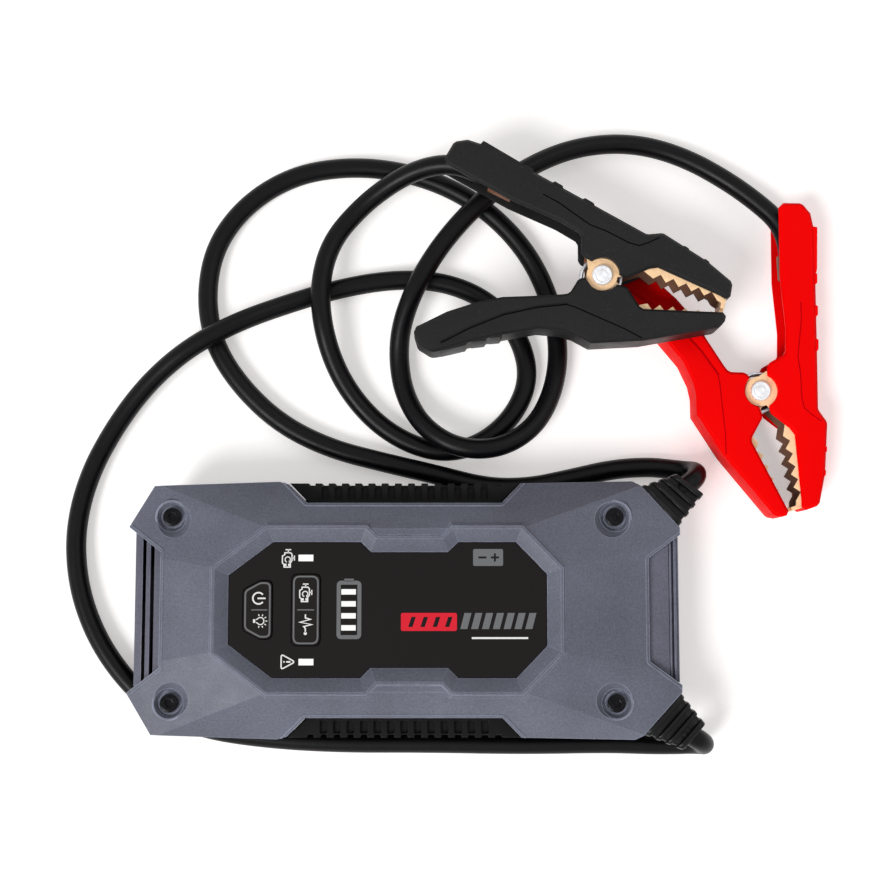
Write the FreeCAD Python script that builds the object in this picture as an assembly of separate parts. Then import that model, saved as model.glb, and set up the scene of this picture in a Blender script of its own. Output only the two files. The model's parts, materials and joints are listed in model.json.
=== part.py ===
import FreeCAD, Part
import math
import os

os.makedirs("parts", exist_ok=True)

Vector = FreeCAD.Vector

# Jump starter pack: a flat battery case with two heavy cords and two battery clamps.
# The origin is under the middle of the case. X runs to the cord end, Y to the rear, Z up.

# Case, overall
half_length = 119.3
half_width = 55.6
foot_height = 2.5
foot_recess = 0.6
floor_z = 2.0
parting_z = 24.0
facet_top_z = 44.0
rim_top_z = 44.6

# Case, walls and gaps
cover_wall = 3.4
cover_roof = 3.0
shell_inset = 1.2
shell_wall = 2.6
fit_gap = 0.3
close_gap = 0.15
sharp_turn = math.radians(32.0)
round_sides = 12

# Cover outline, measured from the ends and the sides
left_bay_depth = 14.8
left_bay_half = 24.6
right_bay_depth = 14.3
right_bay_half = 21.9
tip_half = 35.5
notch_depth = 9.8
notch_left = -42.2
notch_right = 41.8
notch_slope = 8.4

# Cover facets, as fall per millimetre away from the rim
side_fall = 0.68
left_fall = 0.222
right_fall = 0.222
left_corner_fall = 0.294
right_corner_fall = 0.256

# Control panel, its sunk bed and the rim round it
rim_left = -80.5
rim_right = 66.4
rim_half = 34.4
rim_end_half = 17.45
rim_corner_left = 22.6
rim_corner_right = 16.4
rim_step_left = -16.3
rim_step_right = 20.7
rim_step_depth = 4.3
rim_step_run = 4.4
border_width = 2.9
border_flat = 1.2
bevel_run = 5.6
label_top_z = 41.0
label_thickness = 1.6
bed_thickness = 2.2

# Keys and windows of the control panel
key_height = 0.9
key_flange = 1.2
key_flange_lip = 1.0
key_travel = 0.5
power_key_x = (-68.5, -61.4, -56.2)
power_key_half = (8.45, 12.25)
boost_key_x = (-47.8, -35.8)
boost_key_half = 15.0
status_bar = (6.3, 2.7)
status_places = [(-42.0, 22.0), (-41.6, -22.0)]
gauge_bar = (6.1, 2.2)
gauge_x = -23.7
gauge_pitch = 5.07
gauge_count = 4
window_lip = 0.6
window_depth = 1.0

# Screws of the cover
screw_left_inset = 18.7
screw_right_inset = 28.6
screw_side_inset = 15.8
screw_radius = 2.0
screw_head_radius = 3.9
screw_head_height = 2.4
screw_socket_radius = 1.7
screw_length = 17.0
well_floor_z = 32.6
well_radius = 4.6
well_mouth_radius = 7.6
well_depth = 3.4
boss_radius = 5.2

# Lower shell, set in at the floor
base_end_inset = 13.3
base_side_inset = 8.1
base_corner = 15.0
base_height = 8.0
flare_rise = 6.0
flare_side = 9.0
flare_end = 13.5
flare_corner = 17.5
left_block_half = 24.0
right_block_half = 27.0
left_block_top_z = 19.5
port_recess_depth = 6.4

# Seal in the parting joint
seal_inset = 2.0
seal_width = 1.1
seal_height = 1.2

# Side grips
grip_floor_z = 10.6
grip_top_z = 27.0
grip_reach = 0.75
grip_edge = 1.5
grip_corner = 1.4
grip_pitch = 5.8
grip_pocket = (3.0, 4.0)
grip_notch = (2.4, 1.4)

# End pieces between the bumpers
louvre_low_z = 21.5
louvre_high_z = 31.0
louvre_slots = (5.35, 9.4)
louvre_slot_width = 1.35
panel_inner_z = 33.6
panel_outer_z = 30.6
panel_groove_inset = 4.7
panel_groove = 0.8

# Feet
foot_radius = 8.0
foot_end_inset = 35.3
foot_side_inset = 22.6

# Battery and its tray
cell_length = 116.0
cell_half_width = 32.0
cell_thickness = 7.0
cell_gap = 0.4
cell_count = 3
cell_left = -62.0
tray_wall = 1.6
tray_window = (22.0, 44.0)
tray_window_x = (-36.0, -4.0, 28.0)
tray_rib_inset = 24.0
tab_length = 8.0
tab_half_width = 5.0
tab_y = 16.0
tab_thickness = 0.5
link_thickness = 1.0

# Control board
board_thickness = 1.6
board_left = -67.0
board_right = 62.0
board_half_width = 40.0
board_screw_x = (-58.0, 50.0)
board_screw_y = 37.0
post_radius = 3.2
board_screw_radius = 1.5
board_lift = 1.0
switch_size = 6.2
switch_body = 3.4
switch_plunger = 1.2
switch_places = [(-61.5, 5.0), (-61.5, -5.0), (-41.8, 7.0), (-41.8, -7.0)]
chip_height = 1.6
sink_left = 10.0
sink_length = 34.0
sink_half_width = 14.0
sink_base = 1.6
sink_fin = 1.2
sink_fin_height = 3.0
sink_fin_count = 7

# Ports behind the end door
port_board_z = 6.0
port_board_length = 18.0
port_board_half = 17.5
usb_wide = (13.2, 5.7)
usb_small = (9.0, 3.3)
usb_length = 14.0
usb_wide_y = 7.0
usb_small_y = -8.5
door_half = 18.0
door_thickness = 2.2
door_top_z = 17.3
door_axis_z = 5.4
door_barrel = 1.9
door_pin_radius = 1.0
door_pin_clearance = 0.05
door_pin_grip = 2.0

# Work light in the other end
lens_half = 14.8
lens_bottom_z = 6.2
lens_top_z = 14.8
lens_thickness = 1.5
reflector_half = 13.4
reflector_depth = 6.0
light_board_thickness = 1.4

# Cords, their bushes and the inner leads
cord_diameter = 9.0
cord_sides = 6
bore_clearance = 0.15
lead_diameter = 7.0
lug_radius = 4.3
lug_length = 9.0
bush_width = 23.0
bush_height = 13.6
bush_tip_width = 15.0
bush_tip_height = 12.6
bush_corner = 2.6
bush_tip_reach = (5.2, -1.1)
bush_angle = 31.0
bush_plate = 2.4
bush_neck_width = 18.4
bush_neck_height = 11.0
bush_flange = 1.8
bush_flange_rise = 4.0
bush_mouth = (3.5, 6.0)
bush_rib_height = 1.1
bush_rib_count = 3

# Clamps, in their own frame: u to the jaw tips, v to the cord lever, w up
clamp_height = 20.0
flange_cable = 2.4
flange_free = 3.8
handle_spine = 3.0
handle_edge = 1.2
handle_corner = 2.0
ear_radius = 6.5
ear_window = 7.2
rivet_radius = 2.6
rivet_clearance = 0.05
rivet_head_radius = 4.3
rivet_head_height = 2.2
sheet = 1.2
sheet_gap = 0.2
nose_u = 55.0
tooth_count = 6
tooth_depth = 2.7
spring_wire = 1.6
wire_sides = 5
spring_radius = 8.65
spring_pitch = 2.15
spring_turns = 3
spring_leg_u = -30.0
crimp_wall = 1.4
crimp_cup = 9.0
crimp_floor = 2.0
crimp_tongue = 9.0
cord_end = (-47.5, 30.8)
cord_entry = (-60.0, 33.8)
positive_place = (158.4, 96.8, 0.0, -74.0)
negative_place = (86.0, 145.1, 20.3, -13.3)

# Centre lines of the cords at the bushes, outwards from the case's right corners
positive_exit = [
    (0.9, -3.7, 24.0), (5.7, -0.8, 24.0), (9.0, 2.3, 20.9), (10.2, 4.6, 16.0), (9.6, 5.8, 10.6),
    (6.0, 6.4, 6.4), (0.7, 7.2, 4.5)]
negative_exit = [
    (0.9, -3.7, 24.0), (5.7, -0.8, 24.0), (9.6, 1.6, 20.9), (11.7, 3.2, 16.0), (11.1, 3.7, 10.6),
    (7.4, 3.9, 6.4), (2.0, 4.3, 4.5)]

# The next points, beside the case: along X, outwards from its side, and up
positive_side = [
    (109.5, 8.3, 4.5), (93.0, 7.2, 4.5), (74.0, 2.8, 4.5), (55.0, -1.2, 4.5), (36.0, -1.0, 4.5)]
negative_side = [
    (110.0, 4.4, 4.5), (89.0, 3.7, 4.5), (52.0, 4.4, 4.5), (8.0, 3.6, 4.5), (-30.0, 3.7, 4.5),
    (-64.0, 1.6, 4.5)]

# The free cords, from the case to the clamps
positive_free = [
    (15.0, 60.0, 4.5), (-9.0, 65.6, 4.5), (-35.0, 72.2, 4.5), (-58.0, 83.8, 4.5), (-76.5, 101.5, 4.5),
    (-88.5, 121.0, 4.5), (-92.2, 143.5, 4.5), (-88.0, 166.5, 4.5), (-74.0, 185.5, 4.5),
    (-53.5, 198.5, 4.5), (-30.5, 203.0, 4.5), (-6.5, 201.8, 4.5), (17.5, 194.6, 4.5), (38.5, 181.6, 4.5),
    (55.5, 163.0, 4.5), (66.0, 140.5, 4.5), (69.8, 117.0, 4.5), (66.5, 97.0, 6.2), (57.2, 80.4, 10.8),
    (41.0, 71.0, 14.2), (22.8, 71.4, 14.6), (7.6, 81.2, 11.2), (-1.0, 96.5, 5.8), (-3.8, 112.5, 5.4),
    (-2.6, 127.5, 9.8), (3.2, 143.0, 14.3), (11.5, 158.0, 14.6), (21.5, 171.5, 14.6), (34.5, 185.0, 14.9),
    (51.5, 198.0, 14.6), (71.0, 208.6, 10.5), (91.0, 213.8, 6.0), (110.5, 213.2, 4.5), (129.5, 206.8, 5.0),
    (147.0, 196.3, 6.3), (160.5, 185.5, 8.4), (170.5, 175.5, 9.8)]
negative_free = [
    (-92.0, -52.8, 4.5), (-113.5, -43.0, 4.5), (-129.0, -27.5, 4.5), (-140.5, -9.5, 4.5),
    (-147.8, 11.5, 4.5), (-149.6, 35.5, 4.5), (-144.0, 60.0, 4.5), (-132.0, 83.0, 4.8),
    (-116.5, 102.5, 8.5), (-97.5, 117.5, 14.0), (-75.5, 129.2, 14.0), (-53.5, 138.9, 6.0),
    (-31.0, 146.0, 4.5), (-6.0, 150.3, 4.5), (17.0, 149.2, 4.5), (37.0, 140.8, 4.5), (51.0, 124.8, 4.5),
    (56.2, 105.5, 4.5), (49.5, 88.0, 4.5), (35.5, 75.0, 4.5), (18.0, 69.8, 4.5), (0.0, 74.6, 4.5),
    (-16.5, 86.0, 4.5), (-30.0, 103.5, 7.0), (-37.5, 124.0, 13.6), (-39.4, 145.5, 15.0),
    (-34.6, 166.0, 11.5), (-21.5, 181.5, 12.5), (-7.0, 191.5, 18.0), (7.0, 197.0, 24.4),
    (21.4, 197.6, 29.6)]

# An inner lead: points inwards from the corner, then points over the board
lead_start = [
    (-14.3, -12.85, 24.0), (-21.3, -24.6, 25.6)]
lead_end = [
    (89.0, 23.0, 29.4), (78.0, 18.0, 31.8), (66.0, 18.0, 31.8)]

# Places worked out from the sizes above
cell_bottom_z = floor_z + shell_wall + 0.8
cell_stack = cell_count * cell_thickness + (cell_count - 1) * cell_gap
board_z = cell_bottom_z + cell_stack + board_lift
board_top_z = board_z + board_thickness
label_bottom_z = label_top_z - label_thickness
bed_bottom_z = label_bottom_z - bed_thickness
ledge_y = half_width - notch_depth
right_face_x = half_length - 1.7
left_face_x = -(half_length - 2.4)
port_wall_x = right_face_x - port_recess_depth
base_half_length = half_length - base_end_inset
base_half_width = half_width - base_side_inset
foot_x = half_length - foot_end_inset
foot_y = half_width - foot_side_inset
bush_tip = (half_length + bush_tip_reach[0], half_width + bush_tip_reach[1])
panel_groove_x = half_length - panel_groove_inset
screw_y = half_width - screw_side_inset
screw_places = [(x, y) for x in (screw_left_inset - half_length, half_length - screw_right_inset)
                for y in (screw_y, -screw_y)]
plunger_top_z = board_top_z + switch_body + switch_plunger
positive_route = [(half_length + x, half_width + y, z) for x, y, z in positive_exit]
positive_route += [(x, half_width + y, z) for x, y, z in positive_side] + positive_free
negative_route = [(half_length + x, -half_width - y, z) for x, y, z in negative_exit]
negative_route += [(x, -half_width - y, z) for x, y, z in negative_side] + negative_free
lead_route = [(half_length + x, half_width + y, z) for x, y, z in lead_start] + lead_end


def save(name, shape):
    """Write one piece."""
    shape.exportStep("parts/" + name + ".step")


def counter_clockwise(points):
    """The same polygon, turning left all the way round."""
    area = 0.0
    for (x0, y0), (x1, y1) in zip(points, points[1:] + points[:1]):
        area += x0 * y1 - x1 * y0
    return list(points) if area > 0 else list(reversed(points))


def offset_polygon(points, distances):
    """Move each side outwards, by one distance or by one for each side, with sharp corners."""
    points = counter_clockwise(points)
    count = len(points)
    if not isinstance(distances, (list, tuple)):
        distances = [distances] * count
    lines = []
    for i in range(count):
        x0, y0 = points[i]
        x1, y1 = points[(i + 1) % count]
        length = math.hypot(x1 - x0, y1 - y0)
        nx, ny = (y1 - y0) / length, (x0 - x1) / length
        lines.append((nx, ny, nx * x0 + ny * y0 + distances[i]))
    moved = []
    for i in range(count):
        a0, b0, c0 = lines[i - 1]
        a1, b1, c1 = lines[i]
        det = a0 * b1 - a1 * b0
        moved.append(((c0 * b1 - c1 * b0) / det, (a0 * c1 - a1 * c0) / det))
    return moved


def mirrored(half):
    """A full outline from its +Y half, listed from left to right."""
    return counter_clockwise(half + [(x, -y) for x, y in reversed(half)])


def wire(points, z):
    corners = [Vector(x, y, z) for x, y in points]
    return Part.makePolygon(corners + corners[:1])


def prism(points, z0, z1):
    return Part.Face(wire(points, z0)).extrude(Vector(0, 0, z1 - z0))


def loft(sections):
    """A flat-sided solid through outlines whose sides stay parallel: (points, z) pairs."""
    faces = [Part.Face(wire(*sections[0])), Part.Face(wire(*sections[-1]))]
    for (low, low_z), (high, high_z) in zip(sections, sections[1:]):
        for i in range(len(low)):
            j = (i + 1) % len(low)
            corners = [Vector(*low[i], low_z), Vector(*low[j], low_z), Vector(*high[j], high_z), Vector(*high[i], high_z)]
            faces.append(Part.Face(Part.makePolygon(corners + corners[:1])))
    solid = Part.Solid(Part.Shell(faces))
    if solid.Volume < 0:
        solid.reverse()
    return solid


def box(x0, x1, y0, y1, z0, z1):
    corner = Vector(min(x0, x1), min(y0, y1), min(z0, z1))
    return Part.makeBox(abs(x1 - x0), abs(y1 - y0), abs(z1 - z0), corner)


def turned(base, axis, stations):
    """A flat-sided round part along an axis, through (distance, radius) pairs."""
    across = axis.cross(Vector(0, 0, 1))
    across = across.normalize() if across.Length > 0.01 else Vector(1, 0, 0)
    up = axis.cross(across)
    rings = []
    for distance, radius in stations:
        corners = []
        for i in range(round_sides):
            angle = 2 * math.pi * (i + 0.5) / round_sides
            corners.append(base + axis * distance + across * (radius * math.cos(angle)) + up * (radius * math.sin(angle)))
        rings.append(corners)
    faces = [Part.Face(Part.makePolygon(corners + corners[:1])) for corners in (rings[0], rings[-1])]
    for low, high in zip(rings, rings[1:]):
        for i in range(round_sides):
            j = (i + 1) % round_sides
            corners = [low[i], low[j], high[j], high[i]]
            faces.append(Part.Face(Part.makePolygon(corners + corners[:1])))
    solid = Part.Solid(Part.Shell(faces))
    if solid.Volume < 0:
        solid.reverse()
    return solid


def rod(x, y, z0, z1, radius):
    """A flat-sided upright rod."""
    return turned(Vector(x, y, 0), Vector(0, 0, 1), [(z0, radius), (z1, radius)])


def round_rod(x, y, z0, z1, radius):
    return Part.makeCylinder(radius, z1 - z0, Vector(x, y, z0))


def fuse(shapes):
    whole = shapes[0]
    for shape in shapes[1:]:
        whole = whole.fuse(shape)
    return whole.removeSplitter()


def group(shapes):
    return Part.makeCompound(shapes)


def mirror_y(shape):
    return shape.mirror(Vector(0, 0, 0), Vector(0, 1, 0))


def cut_corners(points, size):
    """The outline with each sharp corner cut off, as far as its sides allow."""
    points = counter_clockwise(points)
    count = len(points)
    result = []
    for i in range(count):
        here = Vector(points[i][0], points[i][1], 0)
        before = Vector(points[i - 1][0], points[i - 1][1], 0)
        after = Vector(points[(i + 1) % count][0], points[(i + 1) % count][1], 0)
        back = (before - here).normalize()
        ahead = (after - here).normalize()
        turn = math.pi - back.getAngle(ahead)
        if turn < sharp_turn:
            result.append(points[i])
            continue
        reach = min(size * math.tan(turn / 2), 0.42 * min((before - here).Length, (after - here).Length))
        for side in (back, ahead):
            corner = here + side * reach
            result.append((corner.x, corner.y))
    return result


def soft_prism(points, z0, z1, corner, edge):
    """A prism with cut upright corners and bevelled top and bottom edges."""
    full = cut_corners(points, corner)
    small = offset_polygon(full, -edge)
    return loft([(small, z0), (full, z0 + edge), (full, z1 - edge), (small, z1)])


def ring(points, inset, width, z0, z1):
    """A flat band that follows an outline on its inner side."""
    outer = prism(offset_polygon(points, -inset), z0, z1)
    return outer.cut(prism(offset_polygon(points, -inset - width), z0, z1))


# Outlines of the case
def side_points():
    """The rear side from the left bumper to the right one, with the notch for the grip."""
    shoulder = half_width - 0.2
    return [(-half_length, tip_half), (-half_length + 10.3, half_width - 2.1), (-54.8, shoulder),
            (notch_left - notch_slope, half_width - 1.4), (notch_left, ledge_y), (notch_right, ledge_y),
            (notch_right + notch_slope, half_width - 1.0), (half_length - 20.3, half_width),
            (half_length - 16.7, half_width - 1.9), (half_length, tip_half - 0.1)]


def cover_outline():
    left = (-half_length + left_bay_depth, left_bay_half)
    right_tip = (half_length, tip_half - 3.3)
    right = (half_length - right_bay_depth, right_bay_half)
    return mirrored([left] + side_points() + [right_tip, right])


def body_outline():
    """The case seen from above without the bays at its ends or the notches in its sides."""
    side = side_points()
    return mirrored([side[0], side[1], side[2], side[7], side[8], side[9]])


def notch_outline():
    """The side notch on +Y, open outwards."""
    far = half_width + 20.0
    run = notch_slope + 20.0
    return [(notch_left - run, far), (notch_left, ledge_y), (notch_right, ledge_y), (notch_right + run, far)]


def left_bay(reach=30.0):
    inner = -half_length + left_bay_depth
    slope = (tip_half - left_bay_half) / left_bay_depth
    far = inner - reach
    return mirrored([(far, left_bay_half + slope * reach), (inner, left_bay_half)])


def right_bay(reach=30.0):
    inner = half_length - right_bay_depth
    slope = (tip_half - 3.3 - right_bay_half) / right_bay_depth
    far = inner + reach
    return mirrored([(inner, right_bay_half), (far, right_bay_half + slope * reach)])


def bay_cuts(reach, low_z, high_z):
    """The bays at both ends, grown by reach."""
    return [prism(offset_polygon(left_bay(), reach), low_z, high_z),
            prism(offset_polygon(right_bay(), reach), low_z, high_z)]


def rim_outline():
    step = rim_half - rim_step_depth
    return mirrored([(rim_left, rim_end_half), (rim_left + rim_corner_left, rim_half), (rim_step_left, rim_half),
                     (rim_step_left + rim_step_run, step), (rim_step_right - rim_step_run, step),
                     (rim_step_right, rim_half), (rim_right - rim_corner_right, rim_half),
                     (rim_right, rim_end_half)])


def label_outline():
    return offset_polygon(rim_outline(), -bevel_run)


def power_key():
    x0, x1, x2 = power_key_x
    small, wide = power_key_half
    return mirrored([(x0, small), (x1, wide), (x2, wide)])


def boost_key():
    x0, x1 = boost_key_x
    return mirrored([(x0, boost_key_half), (x1, boost_key_half)])


def bar(x, y, size):
    half_x, half_y = size[0] / 2, size[1] / 2
    return [(x - half_x, y - half_y), (x + half_x, y - half_y), (x + half_x, y + half_y), (x - half_x, y + half_y)]


def gauge_places():
    first = -gauge_pitch * (gauge_count - 1) / 2
    return [(gauge_x, first + i * gauge_pitch) for i in range(gauge_count)]


# Cover
def above_plane(start, end, z, fall):
    """The space above a facet that falls away from the rim's side from start to end."""
    along = Vector(end[0] - start[0], end[1] - start[1], 0).normalize()
    down = Vector(along.y, -along.x, -fall).normalize()
    origin = Vector(start[0], start[1], z)
    reach = 4 * half_length
    corners = [origin - along * reach - down * reach, origin + along * reach - down * reach,
               origin + along * reach + down * reach, origin - along * reach + down * reach]
    face = Part.Face(Part.makePolygon(corners + corners[:1]))
    return face.extrude(along.cross(down) * -reach)


def faceted_body(outline, top_z, drop):
    """The block under the cover's sloping facets, the facets lowered by drop."""
    body = prism(outline, parting_z, top_z)
    left = [(rim_left, rim_end_half), (rim_left + rim_corner_left, rim_half)]
    right = [(rim_right - rim_corner_right, rim_half), (rim_right, rim_end_half)]
    corners = counter_clockwise(mirrored(left + right))
    falls = {}
    for start, end in zip(corners, corners[1:] + corners[:1]):
        middle_x = (start[0] + end[0]) / 2
        level = abs(start[1] - end[1]) < 0.01
        upright = abs(start[0] - end[0]) < 0.01
        if level:
            fall = side_fall
        elif upright:
            fall = left_fall if middle_x < 0 else right_fall
        else:
            fall = left_corner_fall if middle_x < 0 else right_corner_fall
        falls[(start, end)] = fall
    for (start, end), fall in falls.items():
        body = body.cut(above_plane(start, end, facet_top_z - drop, fall))
    return body


def screw_wells():
    slope = (well_mouth_radius - well_radius) / well_depth
    height = 2 * well_depth
    stations = [(0, well_radius), (height, well_radius + slope * height)]
    return [turned(Vector(x, y, well_floor_z), Vector(0, 0, 1), stations) for x, y in screw_places]


def make_top_cover():
    outline = cover_outline()
    outer = faceted_body(outline, facet_top_z, 0.0)
    rim = rim_outline()
    border = loft([(offset_polygon(rim, border_width), rim_top_z - 2.6), (offset_polygon(rim, border_flat), rim_top_z)])
    outer = outer.fuse(border)
    cavity = faceted_body(offset_polygon(body_outline(), -cover_wall), facet_top_z - cover_roof, cover_roof)
    notch = prism(offset_polygon(notch_outline(), cover_wall), 0, rim_top_z)
    for cut in bay_cuts(cover_wall, 0, rim_top_z) + [notch, mirror_y(notch)]:
        cavity = cavity.cut(cut)
    cavity = cavity.cut(prism(offset_polygon(rim, -0.4), bed_bottom_z, rim_top_z + 1))
    bosses = [rod(x, y, parting_z, well_floor_z + 1, boss_radius) for x, y in screw_places]
    for boss in bosses:
        cavity = cavity.cut(boss)
    for x, y in screw_places:
        inward = 1 if x < 0 else -1
        cavity = cavity.cut(box(x, x + inward * 14, y - 0.8, y + 0.8, parting_z + 2, well_floor_z))
    cover = outer.cut(cavity)
    bevel_slope = bevel_run / (rim_top_z - label_top_z)
    above = offset_polygon(rim, bevel_slope * 0.5)
    cover = cover.cut(loft([(above, rim_top_z + 0.5), (label_outline(), label_top_z)]))
    cover = cover.cut(prism(label_outline(), label_bottom_z, label_top_z + 0.1))
    for key in (power_key(), boost_key()):
        hole = offset_polygon(key, key_flange_lip + 2 * fit_gap)
        cover = cover.cut(prism(hole, bed_bottom_z - 1, label_bottom_z + 1))
    for x, y in status_places:
        cover = cover.cut(prism(offset_polygon(bar(x, y, status_bar), window_lip + fit_gap), bed_bottom_z - 1, label_bottom_z + 1))
    gauge_half = gauge_pitch * (gauge_count - 1) / 2 + gauge_bar[1] / 2
    slot = bar(gauge_x, 0, (gauge_bar[0], 2 * gauge_half))
    cover = cover.cut(prism(offset_polygon(slot, window_lip + fit_gap), bed_bottom_z - 1, label_bottom_z + 1))
    for well in screw_wells():
        cover = cover.cut(well)
    for x, y in screw_places:
        cover = cover.cut(rod(x, y, parting_z - 1, well_floor_z + 1, screw_radius + close_gap))
    for side in (1, -1):
        neck = bush_opening()
        cover = cover.cut(neck if side > 0 else mirror_y(neck))
    return cover.removeSplitter()


# Lower shell
def base_outline():
    x, y, c = base_half_length, base_half_width, base_corner
    return mirrored([(-x, y - c), (-x + c, y), (x - c, y), (x, y - c)])


def flare_distances():
    """How far each side of the base outline moves outwards over the flare."""
    points = base_outline()
    distances = []
    for (x0, y0), (x1, y1) in zip(points, points[1:] + points[:1]):
        if abs(y1 - y0) < 0.01:
            distances.append(flare_side)
        elif abs(x1 - x0) < 0.01:
            distances.append(flare_end)
        else:
            distances.append(flare_corner)
    return distances


def flared_core(inset, low_z, high_z):
    """The base with its flare, each wall moved in by inset."""
    lift = 0.55 * inset
    base = offset_polygon(base_outline(), -inset)
    wide = offset_polygon(base_outline(), [d - inset for d in flare_distances()])
    break_z = floor_z + base_height + lift
    return loft([(base, low_z), (base, break_z), (wide, break_z + flare_rise), (wide, high_z)])


def end_blocks(inset, low_z):
    left = box(left_face_x + inset, -90, -left_block_half + inset, left_block_half - inset, low_z, left_block_top_z + 2)
    right_x = port_wall_x if inset > 0 else right_face_x
    right = box(90, right_x, -right_block_half + inset, right_block_half - inset, low_z, parting_z)
    return left, right


def shell_outer():
    body = flared_core(0.0, floor_z, parting_z).common(prism(offset_polygon(body_outline(), -shell_inset), 0, parting_z))
    for block in end_blocks(0.0, floor_z):
        body = body.fuse(block)
    body = body.cut(prism(offset_polygon(left_bay(), shell_inset), left_block_top_z, parting_z + 1))
    notch = prism(offset_polygon(notch_outline(), shell_inset), grip_floor_z, parting_z + 1)
    return body.cut(notch).cut(mirror_y(notch))


def shell_cavity():
    inset = shell_inset + shell_wall
    low = floor_z + shell_wall
    roof_z = left_block_top_z - shell_wall
    body = flared_core(shell_wall, low, parting_z + 1)
    lower = body.common(prism(offset_polygon(body_outline(), -inset), low, roof_z))
    for block in end_blocks(shell_wall, low):
        lower = lower.fuse(block.common(box(-200, 200, -100, 100, low, roof_z)))
    upper = body.common(prism(offset_polygon(body_outline(), -inset), roof_z, parting_z + 1))
    for bay in bay_cuts(inset, roof_z - 1, parting_z + 2):
        upper = upper.cut(bay)
    cavity = lower.fuse(upper)
    notch = prism(offset_polygon(notch_outline(), inset), grip_floor_z - shell_wall, parting_z + 1)
    return cavity.cut(notch).cut(mirror_y(notch))


def tray_outline():
    return mirrored([(cell_left - fit_gap - tray_wall, cell_half_width + fit_gap + tray_wall),
                     (cell_left + cell_length + fit_gap + tray_wall, cell_half_width + fit_gap + tray_wall)])


def make_bottom_shell():
    outer = shell_outer()
    shell = outer.cut(shell_cavity())
    inside = []
    for x, y in screw_places:
        inside.append(rod(x, y, floor_z + shell_wall - 0.1, parting_z, boss_radius))
    tray = tray_outline()
    tray_x = max(x for x, y in tray) + fit_gap
    tray_left = min(x for x, y in tray) - fit_gap
    tray_y = max(y for x, y in tray) + fit_gap
    for x in (tray_left + tray_rib_inset, (tray_left + tray_x) / 2, tray_x - tray_rib_inset):
        inside.append(box(x - 5, x + 5, tray_y, tray_y + 1.8, floor_z + 1, floor_z + shell_wall + 3))
        inside.append(box(x - 5, x + 5, -tray_y, -tray_y - 1.8, floor_z + 1, floor_z + shell_wall + 3))
    inside.append(box(tray_x, tray_x + 1.8, -12, 12, floor_z + 1, floor_z + shell_wall + 3))
    inside.append(box(tray_left - 1.8, tray_left, -12, 12, floor_z + 1, floor_z + shell_wall + 3))
    for y in (-12.0, 12.0):
        inside.append(rod(port_wall_x - 14, y, floor_z + 1, port_board_z, 2.6))
    for x in (-foot_x, foot_x):
        for y in (-foot_y, foot_y):
            inside.append(rod(x, y, floor_z + 1, floor_z + shell_wall + foot_recess, foot_radius + 1.5))
    for piece in inside:
        shell = shell.fuse(piece.common(outer))
    for x in (-foot_x, foot_x):
        for y in (-foot_y, foot_y):
            shell = shell.cut(rod(x, y, floor_z - 1, foot_height, foot_radius + close_gap))
    groove = ring(cover_outline(), seal_inset - 0.05, seal_width + 0.1, parting_z - seal_height, parting_z + 0.1)
    shell = shell.cut(groove)
    for x, y in screw_places:
        bottom = well_floor_z - screw_length - 1
        shell = shell.cut(rod(x, y, bottom, parting_z + 1, screw_radius + 0.1))
    for tool in [bush_opening(), mirror_y(bush_opening())] + door_cuts() + light_cuts():
        shell = shell.cut(tool)
    return shell.removeSplitter()


def make_case_seal():
    """The seal runs round the parting joint and stops at the two bushes."""
    seal = ring(cover_outline(), seal_inset, seal_width, parting_z - seal_height, parting_z)
    return seal.cut(bush_opening()).cut(mirror_y(bush_opening()))


def make_rubber_feet():
    feet = []
    for x in (-foot_x, foot_x):
        for y in (-foot_y, foot_y):
            stations = [(0, foot_radius - 1), (1.0, foot_radius), (foot_height, foot_radius)]
            feet.append(turned(Vector(x, y, 0), Vector(0, 0, 1), stations))
    return group(feet)


def make_cover_screws():
    screws = []
    for x, y in screw_places:
        top_z = well_floor_z + screw_head_height
        stations = [(well_floor_z - screw_length, screw_radius), (well_floor_z, screw_radius),
                    (well_floor_z, screw_head_radius), (top_z - 0.4, screw_head_radius),
                    (top_z, screw_head_radius - 0.4)]
        screw = turned(Vector(x, y, 0), Vector(0, 0, 1), stations)
        socket = [(x + screw_socket_radius * math.cos(math.radians(60 * i)),
                   y + screw_socket_radius * math.sin(math.radians(60 * i))) for i in range(6)]
        screws.append(screw.cut(prism(socket, top_z - 1.6, top_z + 1)))
    return group(screws)


# Side grips
def make_rear_grip():
    back = ledge_y + fit_gap
    front = half_width - grip_reach
    slope = (half_width - 1.2 - ledge_y) / notch_slope
    flare = (front - back) / slope
    left = notch_left + 1.6 * fit_gap - fit_gap / slope
    right = notch_right - 1.6 * fit_gap + fit_gap / slope
    plan = [(left - flare, front), (left, back), (right, back), (right + flare, front)]
    grip = soft_prism(plan, grip_floor_z, grip_top_z, grip_corner, grip_edge)
    pad_y = ledge_y - shell_inset
    grip = grip.fuse(box(left + 6, right - 6, pad_y, back + 2, grip_floor_z + 0.5, parting_z - close_gap))
    count = int((right - left + 2 * flare - 8) / grip_pitch)
    middle = (left + right) / 2
    cuts = []
    for i in range(count):
        x = middle + (i - (count - 1) / 2) * grip_pitch
        pocket_y = back + 1.6
        if left + 2 < x - grip_pocket[0] / 2 and x + grip_pocket[0] / 2 < right - 2:
            half = grip_pocket[0] / 2
            cuts.append(box(x - half, x + half, pocket_y, pocket_y + grip_pocket[1], grip_floor_z + 4, grip_top_z + 1))
        half = grip_notch[0] / 2
        cuts.append(box(x - half, x + half, front - grip_notch[1], front + 1, grip_floor_z + 2, grip_top_z + 1))
    return grip.cut(group(cuts)).removeSplitter()


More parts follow.
